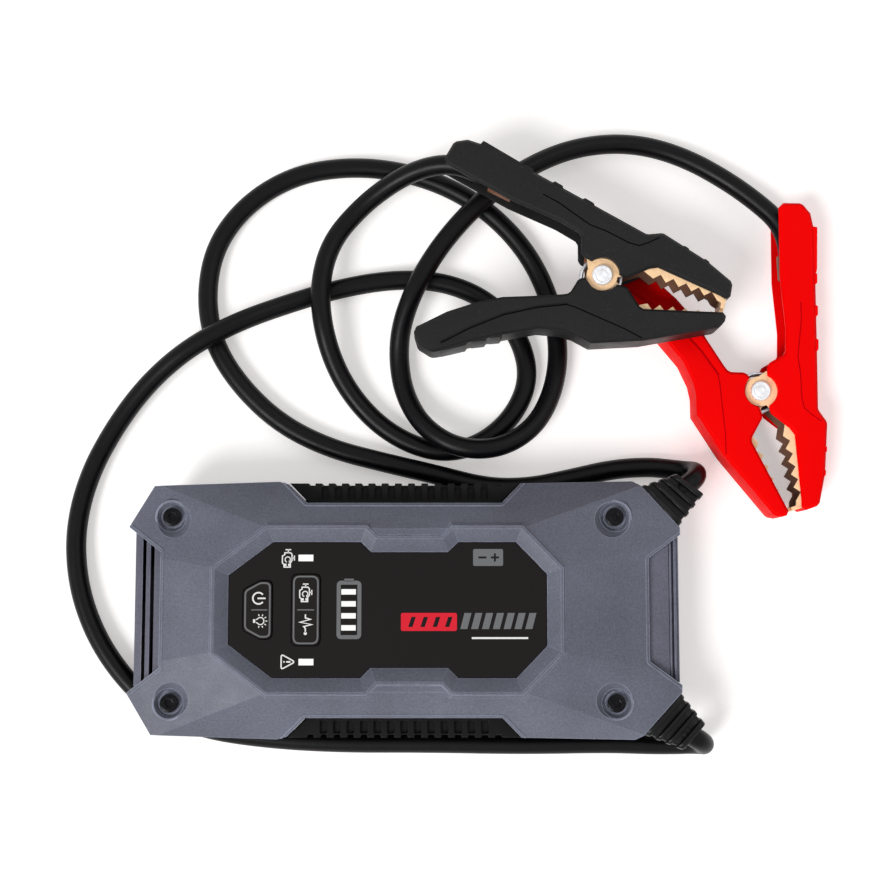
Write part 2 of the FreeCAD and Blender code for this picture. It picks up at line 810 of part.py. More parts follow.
# End pieces
def make_end_louvre():
    inner = -half_length + left_bay_depth - fit_gap
    outer = -half_length + 0.8
    half = tip_half - 2.0
    profile = [Vector(outer, -half, left_block_top_z), Vector(outer, -half, louvre_low_z),
               Vector(inner, -half, louvre_high_z), Vector(inner, -half, left_block_top_z)]
    block = Part.Face(Part.makePolygon(profile + profile[:1])).extrude(Vector(0, 2 * half, 0))
    plan = prism(offset_polygon(left_bay(), -fit_gap), left_block_top_z, louvre_high_z + 1)
    block = block.common(plan)
    for x in [inset - half_length for inset in louvre_slots]:
        reach = left_bay_half + (tip_half - left_bay_half) * (inner - x) / left_bay_depth - 3
        cut = box(x - louvre_slot_width / 2, x + louvre_slot_width / 2, -reach, reach, left_block_top_z + 1.4, 40)
        block = block.cut(cut)
    return block


def make_end_panel():
    inner = half_length - right_bay_depth + fit_gap
    outer = half_length - 0.5
    half = right_block_half + 1
    profile = [Vector(inner, -half, parting_z), Vector(outer, -half, parting_z),
               Vector(outer, -half, panel_outer_z - 1.5), Vector(panel_groove_x, -half, panel_outer_z),
               Vector(inner, -half, panel_inner_z)]
    block = Part.Face(Part.makePolygon(profile + profile[:1])).extrude(Vector(0, 2 * half, 0))
    block = block.common(prism(offset_polygon(right_bay(), -fit_gap), parting_z, 40))
    groove = box(panel_groove_x - panel_groove / 2, panel_groove_x + panel_groove / 2, -60, 60, panel_outer_z - 1.6, 40)
    hollow = box(inner + 2, outer - 2, -half + 6, half - 6, parting_z - 1, panel_outer_z - 3.5)
    return block.cut(groove).cut(hollow)


# Control panel
def make_label_panel():
    panel = prism(offset_polygon(label_outline(), -close_gap), label_bottom_z, label_top_z)
    for key in (power_key(), boost_key()):
        panel = panel.cut(prism(offset_polygon(key, fit_gap), label_bottom_z - 1, label_top_z + 1))
    for x, y in status_places:
        panel = panel.cut(prism(offset_polygon(bar(x, y, status_bar), 0.1), label_bottom_z - 1, label_top_z + 1))
    for x, y in gauge_places():
        panel = panel.cut(prism(offset_polygon(bar(x, y, gauge_bar), 0.1), label_bottom_z - 1, label_top_z + 1))
    return panel


def make_button(outline, places):
    cap = soft_prism(outline, label_bottom_z - 0.1, label_top_z + key_height, 2.2, 0.4)
    flange = prism(offset_polygon(outline, key_flange_lip), label_bottom_z - key_flange, label_bottom_z)
    low = plunger_top_z + key_travel + 0.1
    stems = [rod(x, y, low, label_bottom_z - key_flange, 2.2) for x, y in places]
    return fuse([flange, cap] + stems)


def make_windows(places, size):
    windows = []
    for x, y in places:
        body = prism(bar(x, y, size), label_bottom_z, label_top_z + 0.05)
        lip = prism(offset_polygon(bar(x, y, size), window_lip), label_bottom_z - window_depth, label_bottom_z)
        windows.append(body.fuse(lip).removeSplitter())
    return group(windows)


# Battery
def cell_levels():
    return [cell_bottom_z + i * (cell_thickness + cell_gap) for i in range(cell_count)]


def make_battery_cells():
    right = cell_left + cell_length
    cells = []
    for z in cell_levels():
        plan = mirrored([(cell_left, cell_half_width), (right, cell_half_width)])
        body = soft_prism(plan, z, z + cell_thickness, 3.0, 1.0)
        middle = z + cell_thickness / 2
        for y in (-tab_y, tab_y):
            tab = box(right - 1, right + tab_length, y - tab_half_width, y + tab_half_width,
                      middle - tab_thickness / 2, middle + tab_thickness / 2)
            body = body.fuse(tab)
        cells.append(body.removeSplitter())
    return group(cells)


def make_cell_links():
    levels = [z + cell_thickness / 2 for z in cell_levels()]
    x = cell_left + cell_length + tab_length
    links = []
    for i in range(cell_count - 1):
        y = tab_y if i % 2 == 0 else -tab_y
        links.append(box(x, x + link_thickness, y - tab_half_width, y + tab_half_width, levels[i] - 1.5, levels[i + 1] + 1.5))
    return group(links)


def make_battery_tray():
    low = floor_z + shell_wall
    top = cell_bottom_z + cell_stack
    outline = tray_outline()
    body = prism(outline, low, top)
    body = body.cut(prism(offset_polygon(outline, -tray_wall), cell_bottom_z, top + 1))
    right = cell_left + cell_length
    for y in (-tab_y, tab_y):
        reach = tab_half_width + 1
        body = body.cut(box(right - 1, right + tab_length, y - reach, y + reach, cell_bottom_z + 1, top + 1))
    for x in tray_window_x:
        body = body.cut(prism(bar(x, 0, tray_window), low - 1, cell_bottom_z + 1))
        for side in (-1, 1):
            y = side * (cell_half_width + tray_wall)
            reach = tray_window[0] / 2
            body = body.cut(box(x - reach, x + reach, y - 3, y + 3, cell_bottom_z + 4, top - 4))
    for x in board_screw_x:
        for y in (-board_screw_y, board_screw_y):
            post = rod(x, y, low, board_z, post_radius)
            web = box(x - 1, x + 1, y, math.copysign(cell_half_width + tray_wall, y), low, top)
            body = body.fuse(post).fuse(web)
    for x in board_screw_x:
        for y in (-board_screw_y, board_screw_y):
            body = body.cut(rod(x, y, board_z - 9, board_z + 1, board_screw_radius + 0.05))
    return body.removeSplitter()


# Electronics
def make_main_board():
    board = soft_prism(mirrored([(board_left, board_half_width), (board_right, board_half_width)]),
                       board_z, board_top_z, 3.0, 0.1)
    for x in board_screw_x:
        for y in (-board_screw_y, board_screw_y):
            board = board.cut(rod(x, y, board_z - 1, board_top_z + 1, board_screw_radius + close_gap))
    return board


def make_board_screws():
    screws = []
    for x in board_screw_x:
        for y in (-board_screw_y, board_screw_y):
            stations = [(board_z - 7, board_screw_radius), (board_top_z, board_screw_radius),
                        (board_top_z, 2.8), (board_top_z + 1.8, 2.8)]
            screws.append(turned(Vector(x, y, 0), Vector(0, 0, 1), stations))
    return group(screws)


def make_tact_switches():
    switches = []
    for x, y in switch_places:
        half = switch_size / 2
        body = box(x - half, x + half, y - half, y + half, board_top_z, board_top_z + switch_body)
        plunger = rod(x, y, board_top_z + switch_body, plunger_top_z, 1.7)
        switches.append(body.fuse(plunger).removeSplitter())
    return group(switches)


def make_board_leds():
    leds = []
    for x, y in gauge_places() + status_places:
        leds.append(prism(bar(x, y, (3.0, 1.6)), board_top_z, board_top_z + 0.9))
    return group(leds)


def make_board_chips():
    chips = []
    for x in (16.0, 27.0, 38.0):
        for y in (-7.5, 7.5):
            chips.append(prism(bar(x, y, (8.0, 9.0)), board_top_z, board_top_z + chip_height))
    chips.append(prism(bar(-6.0, 0.0, (9.0, 9.0)), board_top_z, board_top_z + 1.0))
    chips.append(prism(bar(-6.0, 20.0, (12.0, 12.0)), board_top_z, board_top_z + 4.5))
    chips.append(prism(bar(-6.0, -20.0, (5.0, 6.2)), board_top_z, board_top_z + 1.2))
    return group(chips)


def make_heat_sink():
    z = board_top_z + chip_height
    right = sink_left + sink_length
    sink = box(sink_left, right, -sink_half_width, sink_half_width, z, z + sink_base)
    step = (2 * sink_half_width - sink_fin) / (sink_fin_count - 1)
    fins = [sink]
    for i in range(sink_fin_count):
        y = -sink_half_width + i * step
        fins.append(box(sink_left, right, y, y + sink_fin, z + sink_base, z + sink_base + sink_fin_height))
    return fuse(fins)


# Ports and their door
def usb_bodies(clearance):
    """The outsides of the two sockets: (y, width, height) set on the port board."""
    bodies = []
    for y, (width, height) in ((usb_wide_y, usb_wide), (usb_small_y, usb_small)):
        half = width / 2 + clearance
        low = port_board_z + board_thickness - clearance
        high = port_board_z + board_thickness + height + clearance
        bodies.append(box(socket_front() - usb_length, socket_front(), y - half, y + half, low, high))
    return bodies


def socket_front():
    return port_wall_x + shell_wall


def make_usb_sockets():
    wide, small = usb_bodies(0.0)
    wall = 0.4
    sockets = []
    for body, tongue_low, tongue in ((wide, 0.55, 1.9), (small, 0.38, 0.7)):
        b = body.BoundBox
        hole = box(b.XMin + 3, b.XMax + 1, b.YMin + wall, b.YMax - wall, b.ZMin + wall, b.ZMax - wall)
        blade_z = b.ZMin + tongue_low * (b.ZMax - b.ZMin)
        blade = box(b.XMin + 2.9, b.XMax - 1, b.YMin + 1.5, b.YMax - 1.5, blade_z, blade_z + tongue)
        sockets.append(body.cut(hole).fuse(blade).removeSplitter())
    return group(sockets)


def make_port_board():
    right = port_wall_x - fit_gap
    return box(right - port_board_length, right, -port_board_half, port_board_half,
               port_board_z, port_board_z + board_thickness)


def door_axis_x():
    return right_face_x - door_thickness / 2 - 0.1


def door_cuts():
    """The recess for the door, the holes for its pin and the openings for the sockets."""
    half = door_half + fit_gap
    recess = box(socket_front(), right_face_x + 1, -half, half, door_axis_z - door_barrel - fit_gap, door_top_z + 0.5)
    reach = door_half + door_pin_grip + fit_gap
    pin = Part.makeCylinder(door_pin_radius + 0.01, 2 * reach, Vector(door_axis_x(), -reach, door_axis_z), Vector(0, 1, 0))
    cuts = [recess, pin]
    for body in usb_bodies(0.2):
        b = body.BoundBox
        cuts.append(box(port_wall_x - 1, socket_front() + 1, b.YMin, b.YMax, b.ZMin, b.ZMax))
    return cuts


def make_port_door():
    x = door_axis_x()
    barrel = Part.makeCylinder(door_barrel, 2 * door_half, Vector(x, -door_half, door_axis_z), Vector(0, 1, 0))
    plate = box(x - door_thickness / 2, x + door_thickness / 2, -door_half, door_half, door_axis_z, door_top_z)
    top_edges = [e for e in plate.Edges if e.BoundBox.ZMin > door_top_z - 0.01]
    plate = plate.makeChamfer(0.4, top_edges)
    lip = box(x + door_thickness / 2 - 0.1, x + door_thickness / 2 + 0.9, -5, 5, door_top_z - 2.2, door_top_z - 0.8)
    hole = Part.makeCylinder(door_pin_radius + door_pin_clearance, 2 * door_half + 2,
                             Vector(x, -door_half - 1, door_axis_z), Vector(0, 1, 0))
    return fuse([barrel, plate, lip]).cut(hole)


def make_door_pin():
    reach = door_half + door_pin_grip + fit_gap
    return Part.makeCylinder(door_pin_radius, 2 * reach, Vector(door_axis_x(), -reach, door_axis_z), Vector(0, 1, 0))


# Work light
def lens_back_x():
    return left_face_x + lens_thickness


def reflector_back_x():
    return lens_back_x() + reflector_depth


def light_middle_z():
    return (lens_bottom_z + lens_top_z) / 2


def light_cuts():
    seat = box(left_face_x - 1, lens_back_x(), -lens_half - 0.1, lens_half + 0.1, lens_bottom_z - 0.1, lens_top_z + 0.1)
    drop = 1.2
    pocket = box(lens_back_x(), reflector_back_x() + light_board_thickness, -reflector_half - 0.1, reflector_half + 0.1,
                 lens_bottom_z + drop - 0.1, lens_top_z - drop + 0.1)
    return [seat, pocket]


def make_light_lens():
    plate = box(left_face_x, lens_back_x(), -lens_half, lens_half, lens_bottom_z, lens_top_z)
    rim = [e for e in plate.Edges if e.BoundBox.XMax < left_face_x + 0.01]
    return plate.makeChamfer(0.4, rim)


def make_light_reflector():
    drop = 1.2
    block = box(lens_back_x(), reflector_back_x(), -reflector_half, reflector_half, lens_bottom_z + drop, lens_top_z - drop)
    cups = []
    mouth = (lens_top_z - lens_bottom_z) / 2 - drop - 0.4
    for y in (-7.0, 7.0):
        base = Vector(reflector_back_x() + 0.01, y, light_middle_z())
        cups.append(turned(base, Vector(-1, 0, 0), [(0, 1.6), (reflector_depth + 0.02, mouth)]))
    return block.cut(group(cups))


def make_light_board():
    drop = 1.2
    x = reflector_back_x()
    board = box(x, x + light_board_thickness, -reflector_half, reflector_half, lens_bottom_z + drop, lens_top_z - drop)
    for y in (-7.0, 7.0):
        board = board.fuse(box(x - 0.9, x, y - 1.0, y + 1.0, light_middle_z() - 1.0, light_middle_z() + 1.0))
    return board.removeSplitter()


# Cord bushes on the corner chamfers
def chamfer_frame():
    """The right rear chamfer of the case: its middle, the way along it and the way out of it."""
    start = Vector(half_length - 16.7, half_width - 1.9, 0)
    end = Vector(half_length, tip_half - 0.1, 0)
    along = (end - start).normalize()
    out = Vector(-along.y, along.x, 0)
    return (start + end) * 0.5, along, out


def chamfer_box(s0, s1, n0, n1, z0, z1):
    middle, along, out = chamfer_frame()
    corners = []
    for s, n in ((s0, n0), (s1, n0), (s1, n1), (s0, n1)):
        corners.append(middle + along * s + out * n + Vector(0, 0, z0))
    return Part.Face(Part.makePolygon(corners + corners[:1])).extrude(Vector(0, 0, z1 - z0))


def bush_axis():
    angle = math.radians(bush_angle)
    return Vector(math.cos(angle), math.sin(angle), 0)


def bush_opening():
    """The slot in the corner walls that the neck of a bush fills."""
    width = bush_neck_width / 2 + 0.1
    height = bush_neck_height / 2 + 0.1
    return chamfer_box(-width, width, -cover_wall - 3, 4, parting_z - height, parting_z + height)


def bush_section(t, shrink):
    """The bush's round-cornered cross-section, from its plate (0) to its tip (1)."""
    middle, along, out = chamfer_frame()
    axis = bush_axis()
    tip = Vector(bush_tip[0], bush_tip[1], parting_z)
    base = middle + Vector(0, 0, parting_z)
    centre = base * (1 - t) + tip * t
    across_tip = Vector(axis.y, -axis.x, 0)
    across = (along * (1 - t) + across_tip * t).normalize()
    half_w = (bush_width * (1 - t) + bush_tip_width * t) / 2 - shrink
    half_h = (bush_height * (1 - t) + bush_tip_height * t) / 2 - shrink
    up = Vector(0, 0, 1)
    corners = []
    for sx, sz in ((1, 1), (-1, 1), (-1, -1), (1, -1)):
        side = centre + across * (sx * half_w) + up * (sz * (half_h - bush_corner))
        cap = centre + across * (sx * (half_w - bush_corner)) + up * (sz * half_h)
        corners += [side, cap] if sx * sz > 0 else [cap, side]
    return Part.makePolygon(corners + corners[:1])


def make_bush():
    """The rear bush: a plate on the chamfer, a ribbed sleeve outside, a neck and a flange inside."""
    core = Part.makeLoft([bush_section(0.0, bush_rib_height), bush_section(1.0, bush_rib_height)], True, True)
    solids = [core]
    spans = [(0.0, 0.15)]
    free = 0.93 - 0.15
    step = free / (bush_rib_count + 0.6)
    for i in range(bush_rib_count):
        start = 0.15 + step * (0.55 + i)
        spans.append((start, start + 0.55 * step))
    spans.append((0.93, 1.0))
    for start, end in spans:
        solids.append(Part.makeLoft([bush_section(start, 0.0), bush_section(end, 0.0)], True, True))
    half_w = bush_neck_width / 2
    half_h = bush_neck_height / 2
    inner = -shell_inset - shell_wall
    solids.append(chamfer_box(-half_w, half_w, inner - 0.1, 0.1, parting_z - half_h, parting_z + half_h))
    solids.append(chamfer_box(-half_w - 1.0, half_w + 1.0, inner - bush_flange, inner,
                              parting_z - half_h - 1.2, parting_z + bush_flange_rise))
    solids.append(chamfer_box(-half_w - 0.6, half_w + 0.6, -shell_inset, 0.1, parting_z - half_h - 0.9, parting_z - 0.05))
    body = fuse(solids)
    axis = bush_axis()
    tip = Vector(bush_tip[0], bush_tip[1], parting_z)
    bore_radius = (cord_diameter / 2 + bore_clearance) / math.cos(math.pi / round_sides)
    depth, mouth_radius = bush_mouth
    stations = [(-40, bore_radius), (-depth, bore_radius), (depth, 2 * mouth_radius - bore_radius)]
    return body.cut(turned(tip, axis, stations)).removeSplitter()


# Cords and leads
def tangent_path(points):
    """Straight runs joined by arcs as large as the runs allow. Gives the edges and the arcs' radii."""
    nodes = [Vector(*p) for p in points]
    edges = []
    radii = []
    here = nodes[0]
    for before, corner, after in zip(nodes, nodes[1:], nodes[2:]):
        back = (before - corner).normalize()
        ahead = (after - corner).normalize()
        half_turn = (math.pi - back.getAngle(ahead)) / 2
        reach = 0.45 * min((before - corner).Length, (after - corner).Length)
        radius = reach / math.tan(half_turn)
        start = corner + back * reach
        end = corner + ahead * reach
        middle = corner + (back + ahead).normalize() * (radius / math.cos(half_turn) - radius)
        edges.append(Part.LineSegment(here, start).toShape())
        edges.append(Part.Arc(start, middle, end).toShape())
        radii.append(radius)
        here = end
    edges.append(Part.LineSegment(here, nodes[-1]).toShape())
    return edges, radii


def tube(edges, radius, sides):
    """A flat-sided tube along a path. Its corners lie on the radius."""
    path = Part.Wire(edges)
    first = edges[0]
    start = first.valueAt(first.FirstParameter)
    direction = first.tangentAt(first.FirstParameter)
    across = direction.cross(Vector(0, 0, 1)).normalize()
    up = across.cross(direction)
    corners = []
    for i in range(sides):
        angle = 2 * math.pi * (i + 0.5) / sides
        corners.append(start + across * (radius * math.cos(angle)) + up * (radius * math.sin(angle)))
    profile = Part.makePolygon(corners + corners[:1])
    return path.makePipeShell([profile], True, False)


def make_cord(name, points, diameter):
    edges, radii = tangent_path(points)
    shape = tube(edges, diameter / 2, cord_sides)
    length = sum(edge.Length for edge in edges)
    section = cord_sides / 2 * math.sin(2 * math.pi / cord_sides) * diameter ** 2 / 4
    volume = section * length
    print(name, "length %.1f" % length, "volume ratio %.4f" % (shape.Volume / volume))
    print(name, "radii", " ".join("%.0f" % radius for radius in radii))
    return shape


def on_clamp(place, u, v, w):
    """A point given in a clamp's frame, in the part's frame."""
    x, y, z, angle = place
    a = math.radians(angle)
    return (x + u * math.cos(a) - v * math.sin(a), y + u * math.sin(a) + v * math.cos(a), z + w)


def cord_points(route, place):
    middle = clamp_height / 2
    return route + [on_clamp(place, cord_entry[0], cord_entry[1], middle), on_clamp(place, cord_end[0], cord_end[1], middle)]


def make_lead(name):
    start = positive_route[0]
    return make_cord(name, [start] + lead_route, lead_diameter)


def make_lead_lugs():
    x, y, z = lead_route[-1]
    barrel = turned(Vector(x, y, z), Vector(1, 0, 0), [(-2.0, lug_radius), (lug_length - 2.0, lug_radius)])
    bore_radius = (lead_diameter / 2 + 0.1) / math.cos(math.pi / round_sides)
    bore = turned(Vector(x, y, z), Vector(1, 0, 0), [(0, bore_radius), (lug_length, bore_radius)])
    tongue = box(x - 14, x - 1, y - 4.5, y + 4.5, board_top_z, board_top_z + 1.6)
    neck = box(x - 2.4, x - 0.5, y - 4.0, y + 4.0, board_top_z, z)
    bolt = rod(x - 9.5, y, board_top_z + 1.6, board_top_z + 4.2, 3.2)
    lug = fuse([barrel, tongue, neck, bolt]).cut(bore)
    return group([lug, mirror_y(lug)])


# Clamps, drawn closed in their own frame
cable_outer = [(-79.5, 33), (-76.5, 43), (-71, 45.3), (-63, 44.6), (-40, 38), (-14, 30.5), (15, 22), (21.7, 24.2),
               (43, 16.5), (56, 9.7), (56.5, 1.5)]
cable_inner = [(52, 2.9), (23, 8.8), (19.5, 7.5), (10.5, 1), (-8, 5.5), (-10.8, 6.5), (-13, 15.5), (-24, 19),
               (-47, 23.5)]
free_outer = [(-75, -42), (-71.5, -48), (-64.8, -50.3), (-62, -49.3), (-50, -42.4), (-37, -36), (-22, -29.5),
              (-12, -28), (-6, -28.4), (2, -30.6), (23.3, -24.4), (54.7, -10.9), (56.3, -7.8), (56.3, -3.8)]
free_inner = [(19.7, -10.8), (11.5, -2.6), (-7.3, -3.1), (-9.7, -4), (-12.1, -11.2), (-15, -12.4), (-29, -16.5),
              (-40, -19.5), (-50.5, -24.3), (-62.2, -31.4)]
cable_teeth = ((22.0, 3.8), (51.0, 1.0))
free_teeth = ((22.0, -7.3), (50.0, -4.2))


def parallel(points, distance):
    """An open line moved to its right-hand side, or to the left for a negative distance."""
    lines = []
    for (u0, v0), (u1, v1) in zip(points, points[1:]):
        length = math.hypot(u1 - u0, v1 - v0)
        nu, nv = (v1 - v0) / length, (u0 - u1) / length
        lines.append((nu, nv, nu * u0 + nv * v0 + distance))
    first, last = lines[0], lines[-1]
    moved = [(points[0][0] + first[0] * distance, points[0][1] + first[1] * distance)]
    for (a0, b0, c0), (a1, b1, c1) in zip(lines, lines[1:]):
        det = a0 * b1 - a1 * b0
        moved.append(((c0 * b1 - c1 * b0) / det, (a0 * c1 - a1 * c0) / det))
    moved.append((points[-1][0] + last[0] * distance, points[-1][1] + last[1] * distance))
    return moved


def strip(points, distance):
    """A band between a line and its parallel."""
    return points + list(reversed(parallel(points, distance)))


def height_on(line, u):
    """The v of a line at this u."""
    for (u0, v0), (u1, v1) in zip(line, line[1:]):
        if u0 <= u <= u1:
            return v0 + (v1 - v0) * (u - u0) / (u1 - u0)


def cable_web():
    """The outer side of the cable jaw's back, just inside the handle's spine."""
    return parallel(cable_outer[4:-1], handle_spine + sheet_gap)


def free_web():
    return parallel(free_outer[5:12], -handle_spine - sheet_gap)


def teeth(line, side):
    """Tooth tips on a straight line, with roots one tooth depth behind them."""
    (u0, v0), (u1, v1) = line
    points = []
    pitch = (u1 - u0) / (tooth_count - 1)
    rise = (v1 - v0) / (tooth_count - 1)
    for i in range(tooth_count):
        points.append((u0 + i * pitch, v0 + i * rise))
        if i < tooth_count - 1:
            points.append((u0 + (i + 0.5) * pitch, v0 + (i + 0.5) * rise + side * tooth_depth))
    return points


def make_cable_handle():
    body = soft_prism(cable_outer + cable_inner, 0, clamp_height, handle_corner, handle_edge)
    for i in range(4):
        u = -61.0 + 5.2 * i
        v = 44.1 - 0.287 * (u + 61.0)
        body = body.fuse(rod(u, v - 0.4, handle_edge, clamp_height - handle_edge, 1.1))
    nose = nose_u + sheet_gap
    spine = parallel(cable_outer[1:-1], handle_spine)
    window = [(-90, 25), (-90, 39.5)] + spine + [(nose, spine[-1][1] - 0.4), (nose, -6), (-14, -6)]
    body = body.cut(prism(window, flange_cable, clamp_height - flange_cable))
    body = body.cut(rod(0, 0, -1, clamp_height + 1, ear_window))
    return body.removeSplitter()


def make_free_handle():
    body = soft_prism(free_outer + free_inner, 0, clamp_height, handle_corner, handle_edge)
    nose = nose_u + sheet_gap
    spine = parallel(free_outer[2:12], -handle_spine)
    window = [(spine[0][0], -25)] + spine + [(nose, spine[-1][1] + 0.7), (nose, 6), (-14, 6)]
    body = body.cut(prism(window, flange_free, clamp_height - flange_free))
    body = body.cut(rod(0, 0, -1, clamp_height + 1, ear_window))
    for low in (-1.0, clamp_height - 0.7):
        groove = strip([(-61.6, -45.6), (-50.9, -36.5), (-37.9, -27.3), (-23.9, -20.6), (-11.7, -16.4)], -1.0)
        body = body.cut(prism(groove, low, low + 1.7))
    return body.removeSplitter()


def jaw_levels(first):
    """The two plates of a jaw: (low, high) pairs, the first one starting this far up."""
    return [(first, first + sheet), (clamp_height - first - sheet, clamp_height - first)]


def make_cable_jaw():
    first = flange_cable + sheet_gap
    tail = [(-40, 23.5), (-22, 16.2), (-9.5, 9.5), (-6.3, 0.5), (6.3, 0.5), (17.0, 6.2)]
    row = teeth(cable_teeth, 1)
    outline = tail + row + [(53.2, 0.2), (53.4, -2.2), (nose_u, -2.2), (nose_u, 3.0)] + list(reversed(cable_web()))
    solids = []
    for low, high in jaw_levels(first):
        solids.append(prism(outline, low, high).fuse(rod(0, 0, low, high, ear_radius)))
    solids.append(prism(strip(cable_web(), sheet), first, clamp_height - first))
    solids.append(box(nose_u - 1.6, nose_u, -2.2, 3.0, first, clamp_height - first))
    jaw = fuse(solids)
    return jaw.cut(round_rod(0, 0, -1, clamp_height + 1, rivet_radius + rivet_clearance))


def make_free_jaw():
    first = flange_cable + 2 * sheet_gap + sheet
    tail = [(-38, -24.0), (-22, -15.5), (-9.0, -9.0), (-6.3, -0.5), (6.3, -0.5), (17.0, -9.6)]
    row = teeth(free_teeth, -1)
    outline = tail + row + [(53.0, -5.4), (53.4, -2.5), (nose_u, -2.5), (nose_u, -6.6)] + list(reversed(free_web()))
    solids = []
    for low, high in jaw_levels(first):
        solids.append(prism(outline, low, high).fuse(rod(0, 0, low, high, ear_radius)))
    solids.append(prism(strip(free_web(), -sheet), first, clamp_height - first))
    solids.append(box(nose_u - 1.6, nose_u, -6.6, -2.5, first, clamp_height - first))
    jaw = fuse(solids)
    return jaw.cut(round_rod(0, 0, -1, clamp_height + 1, rivet_radius + rivet_clearance))


def make_rivet():
    low = flange_cable + sheet_gap
    high = clamp_height - low
    shaft = round_rod(0, 0, low, high, rivet_radius)
    crown = 0.6 * rivet_head_radius
    rim = 0.4 * rivet_head_height
    head = [(0, rivet_head_radius), (rim, rivet_head_radius), (rivet_head_height, crown)]
    top = turned(Vector(0, 0, high), Vector(0, 0, 1), head)
    bottom = turned(Vector(0, 0, low), Vector(0, 0, -1), head)
    return fuse([shaft, top, bottom])


def biarc(p0, t0, p1, t1):
    """Two arcs that leave p0 along t0 and reach p1 along t1."""
    v = p1 - p0
    mixed = v.dot(t0 + t1)
    spread = 2 * (1 - t0.dot(t1))
    d = (-mixed + math.sqrt(mixed ** 2 + spread * v.dot(v))) / spread
    joint = (p0 + t0 * d + p1 - t1 * d) * 0.5
    edges = []
    for start, tangent, end in ((p0, t0, joint), (joint, (joint - p0 - t0 * d).normalize(), p1)):
        chord = end - start
        normal = chord - tangent * chord.dot(tangent)
        radius = chord.dot(chord) / (2 * normal.Length)
        centre = start + normal.normalize() * radius
        bulge = (start + end) * 0.5 - centre
        middle = centre + bulge.normalize() * radius
        edges.append(Part.Arc(start, middle, end).toShape())
    return edges


def leg_angle(v, side):
    """Where a leg that ends at this height touches the coil, as an angle round the rivet."""
    distance = math.hypot(spring_leg_u, v)
    at = math.atan2(v, spring_leg_u)
    return at - side * math.acos(spring_radius / distance)


def make_spring(name):
    """A torsion spring round the rivet, its legs lying along the two handles."""
    clear = spring_wire / 2 * 1.1 + 0.25
    upper_v = height_on(parallel(cable_web(), sheet), spring_leg_u) - clear
    lower_v = height_on(parallel(free_web(), -sheet), spring_leg_u) + clear
    start_angle = leg_angle(lower_v, -1)
    end_angle = leg_angle(upper_v, 1)
    while end_angle < start_angle + spring_turns * 2 * math.pi:
        end_angle += 2 * math.pi
    turns = (end_angle - start_angle) / (2 * math.pi)
    low = clamp_height / 2 - turns * spring_pitch / 2
    steps = max(4, int(round(turns * 4)))
    climb = spring_pitch / (2 * math.pi)

    def place(angle):
        return Vector(spring_radius * math.cos(angle), spring_radius * math.sin(angle),
                      low + (angle - start_angle) * climb)

    def heading(angle):
        return Vector(-spring_radius * math.sin(angle), spring_radius * math.cos(angle), climb).normalize()

    angles = [start_angle + (end_angle - start_angle) * i / steps for i in range(steps + 1)]
    points = [place(a) for a in angles]
    headings = [heading(a) for a in angles]
    for i in (0, -1):
        headings[i] = Vector(headings[i].x, headings[i].y, 0).normalize()
    reach_low = math.sqrt(spring_leg_u ** 2 + lower_v ** 2 - spring_radius ** 2)
    reach_high = math.sqrt(spring_leg_u ** 2 + upper_v ** 2 - spring_radius ** 2)
    edges = [Part.LineSegment(points[0] - headings[0] * reach_low, points[0]).toShape()]
    for i in range(steps):
        edges += biarc(points[i], headings[i], points[i + 1], headings[i + 1])
    edges.append(Part.LineSegment(points[-1], points[-1] + headings[-1] * reach_high).toShape())
    shape = tube(edges, spring_wire / 2, wire_sides)
    print(name, "turns %.2f" % turns, "least gap %.2f" % least_gap(edges))
    return shape


def least_gap(edges):
    """The least clear distance between two turns of the wire, measured on points along it."""
    points = []
    travelled = 0.0
    for edge in edges:
        count = max(2, int(edge.Length / 0.7))
        for i in range(count):
            share = (i + 0.5) / count
            at = edge.FirstParameter + share * (edge.LastParameter - edge.FirstParameter)
            points.append((travelled + share * edge.Length, edge.valueAt(at)))
        travelled += edge.Length
    least = 100.0
    for i, (s0, p0) in enumerate(points):
        for s1, p1 in points[i + 1:]:
            if s1 - s0 > math.pi * spring_radius:
                least = min(least, (p1 - p0).Length)
    return least - spring_wire


def make_crimp():
    """A cup round the cord's end with a tongue that lies along the jaw's web."""
    start = Vector(cord_end[0], cord_end[1], clamp_height / 2)
    back = Vector(cord_entry[0] - cord_end[0], cord_entry[1] - cord_end[1], 0).normalize()
    radius = cord_diameter / 2
    outside = radius + crimp_wall
    inside = (radius + 0.05) / math.cos(math.pi / round_sides)
    cup = turned(start, back, [(-crimp_floor, outside), (crimp_cup, outside)])
    bore = turned(start, back, [(0, inside), (crimp_cup + 1, inside)])
    half = 4.0
    ahead = start - back * (crimp_floor - 0.2)
    tip = start - back * (crimp_floor + crimp_tongue)
    across = Vector(-back.y, back.x, 0) * 1.2
    corners = [ahead - across, tip - across, tip + across, ahead + across]
    corners = [Vector(c.x, c.y, clamp_height / 2 - half) for c in corners]
    tongue = Part.Face(Part.makePolygon(corners + corners[:1])).extrude(Vector(0, 0, 2 * half))
    return cup.cut(bore).fuse(tongue).removeSplitter()


def placed(shape, place):
    x, y, z, angle = place
    moved = shape.copy()
    moved.Placement = FreeCAD.Placement(Vector(x, y, z), FreeCAD.Rotation(Vector(0, 0, 1), angle))
    return moved


def make_clamp(prefix, place):
    pieces = {
        "cable_handle": make_cable_handle(),
        "free_handle": make_free_handle(),
        "cable_jaw": make_cable_jaw(),
        "free_jaw": make_free_jaw(),
        "pivot_rivet": make_rivet(),
        "spring": make_spring(prefix + "spring"),
        "cable_crimp": make_crimp(),
    }
    for name, shape in pieces.items():
        save(prefix + name, placed(shape, place))


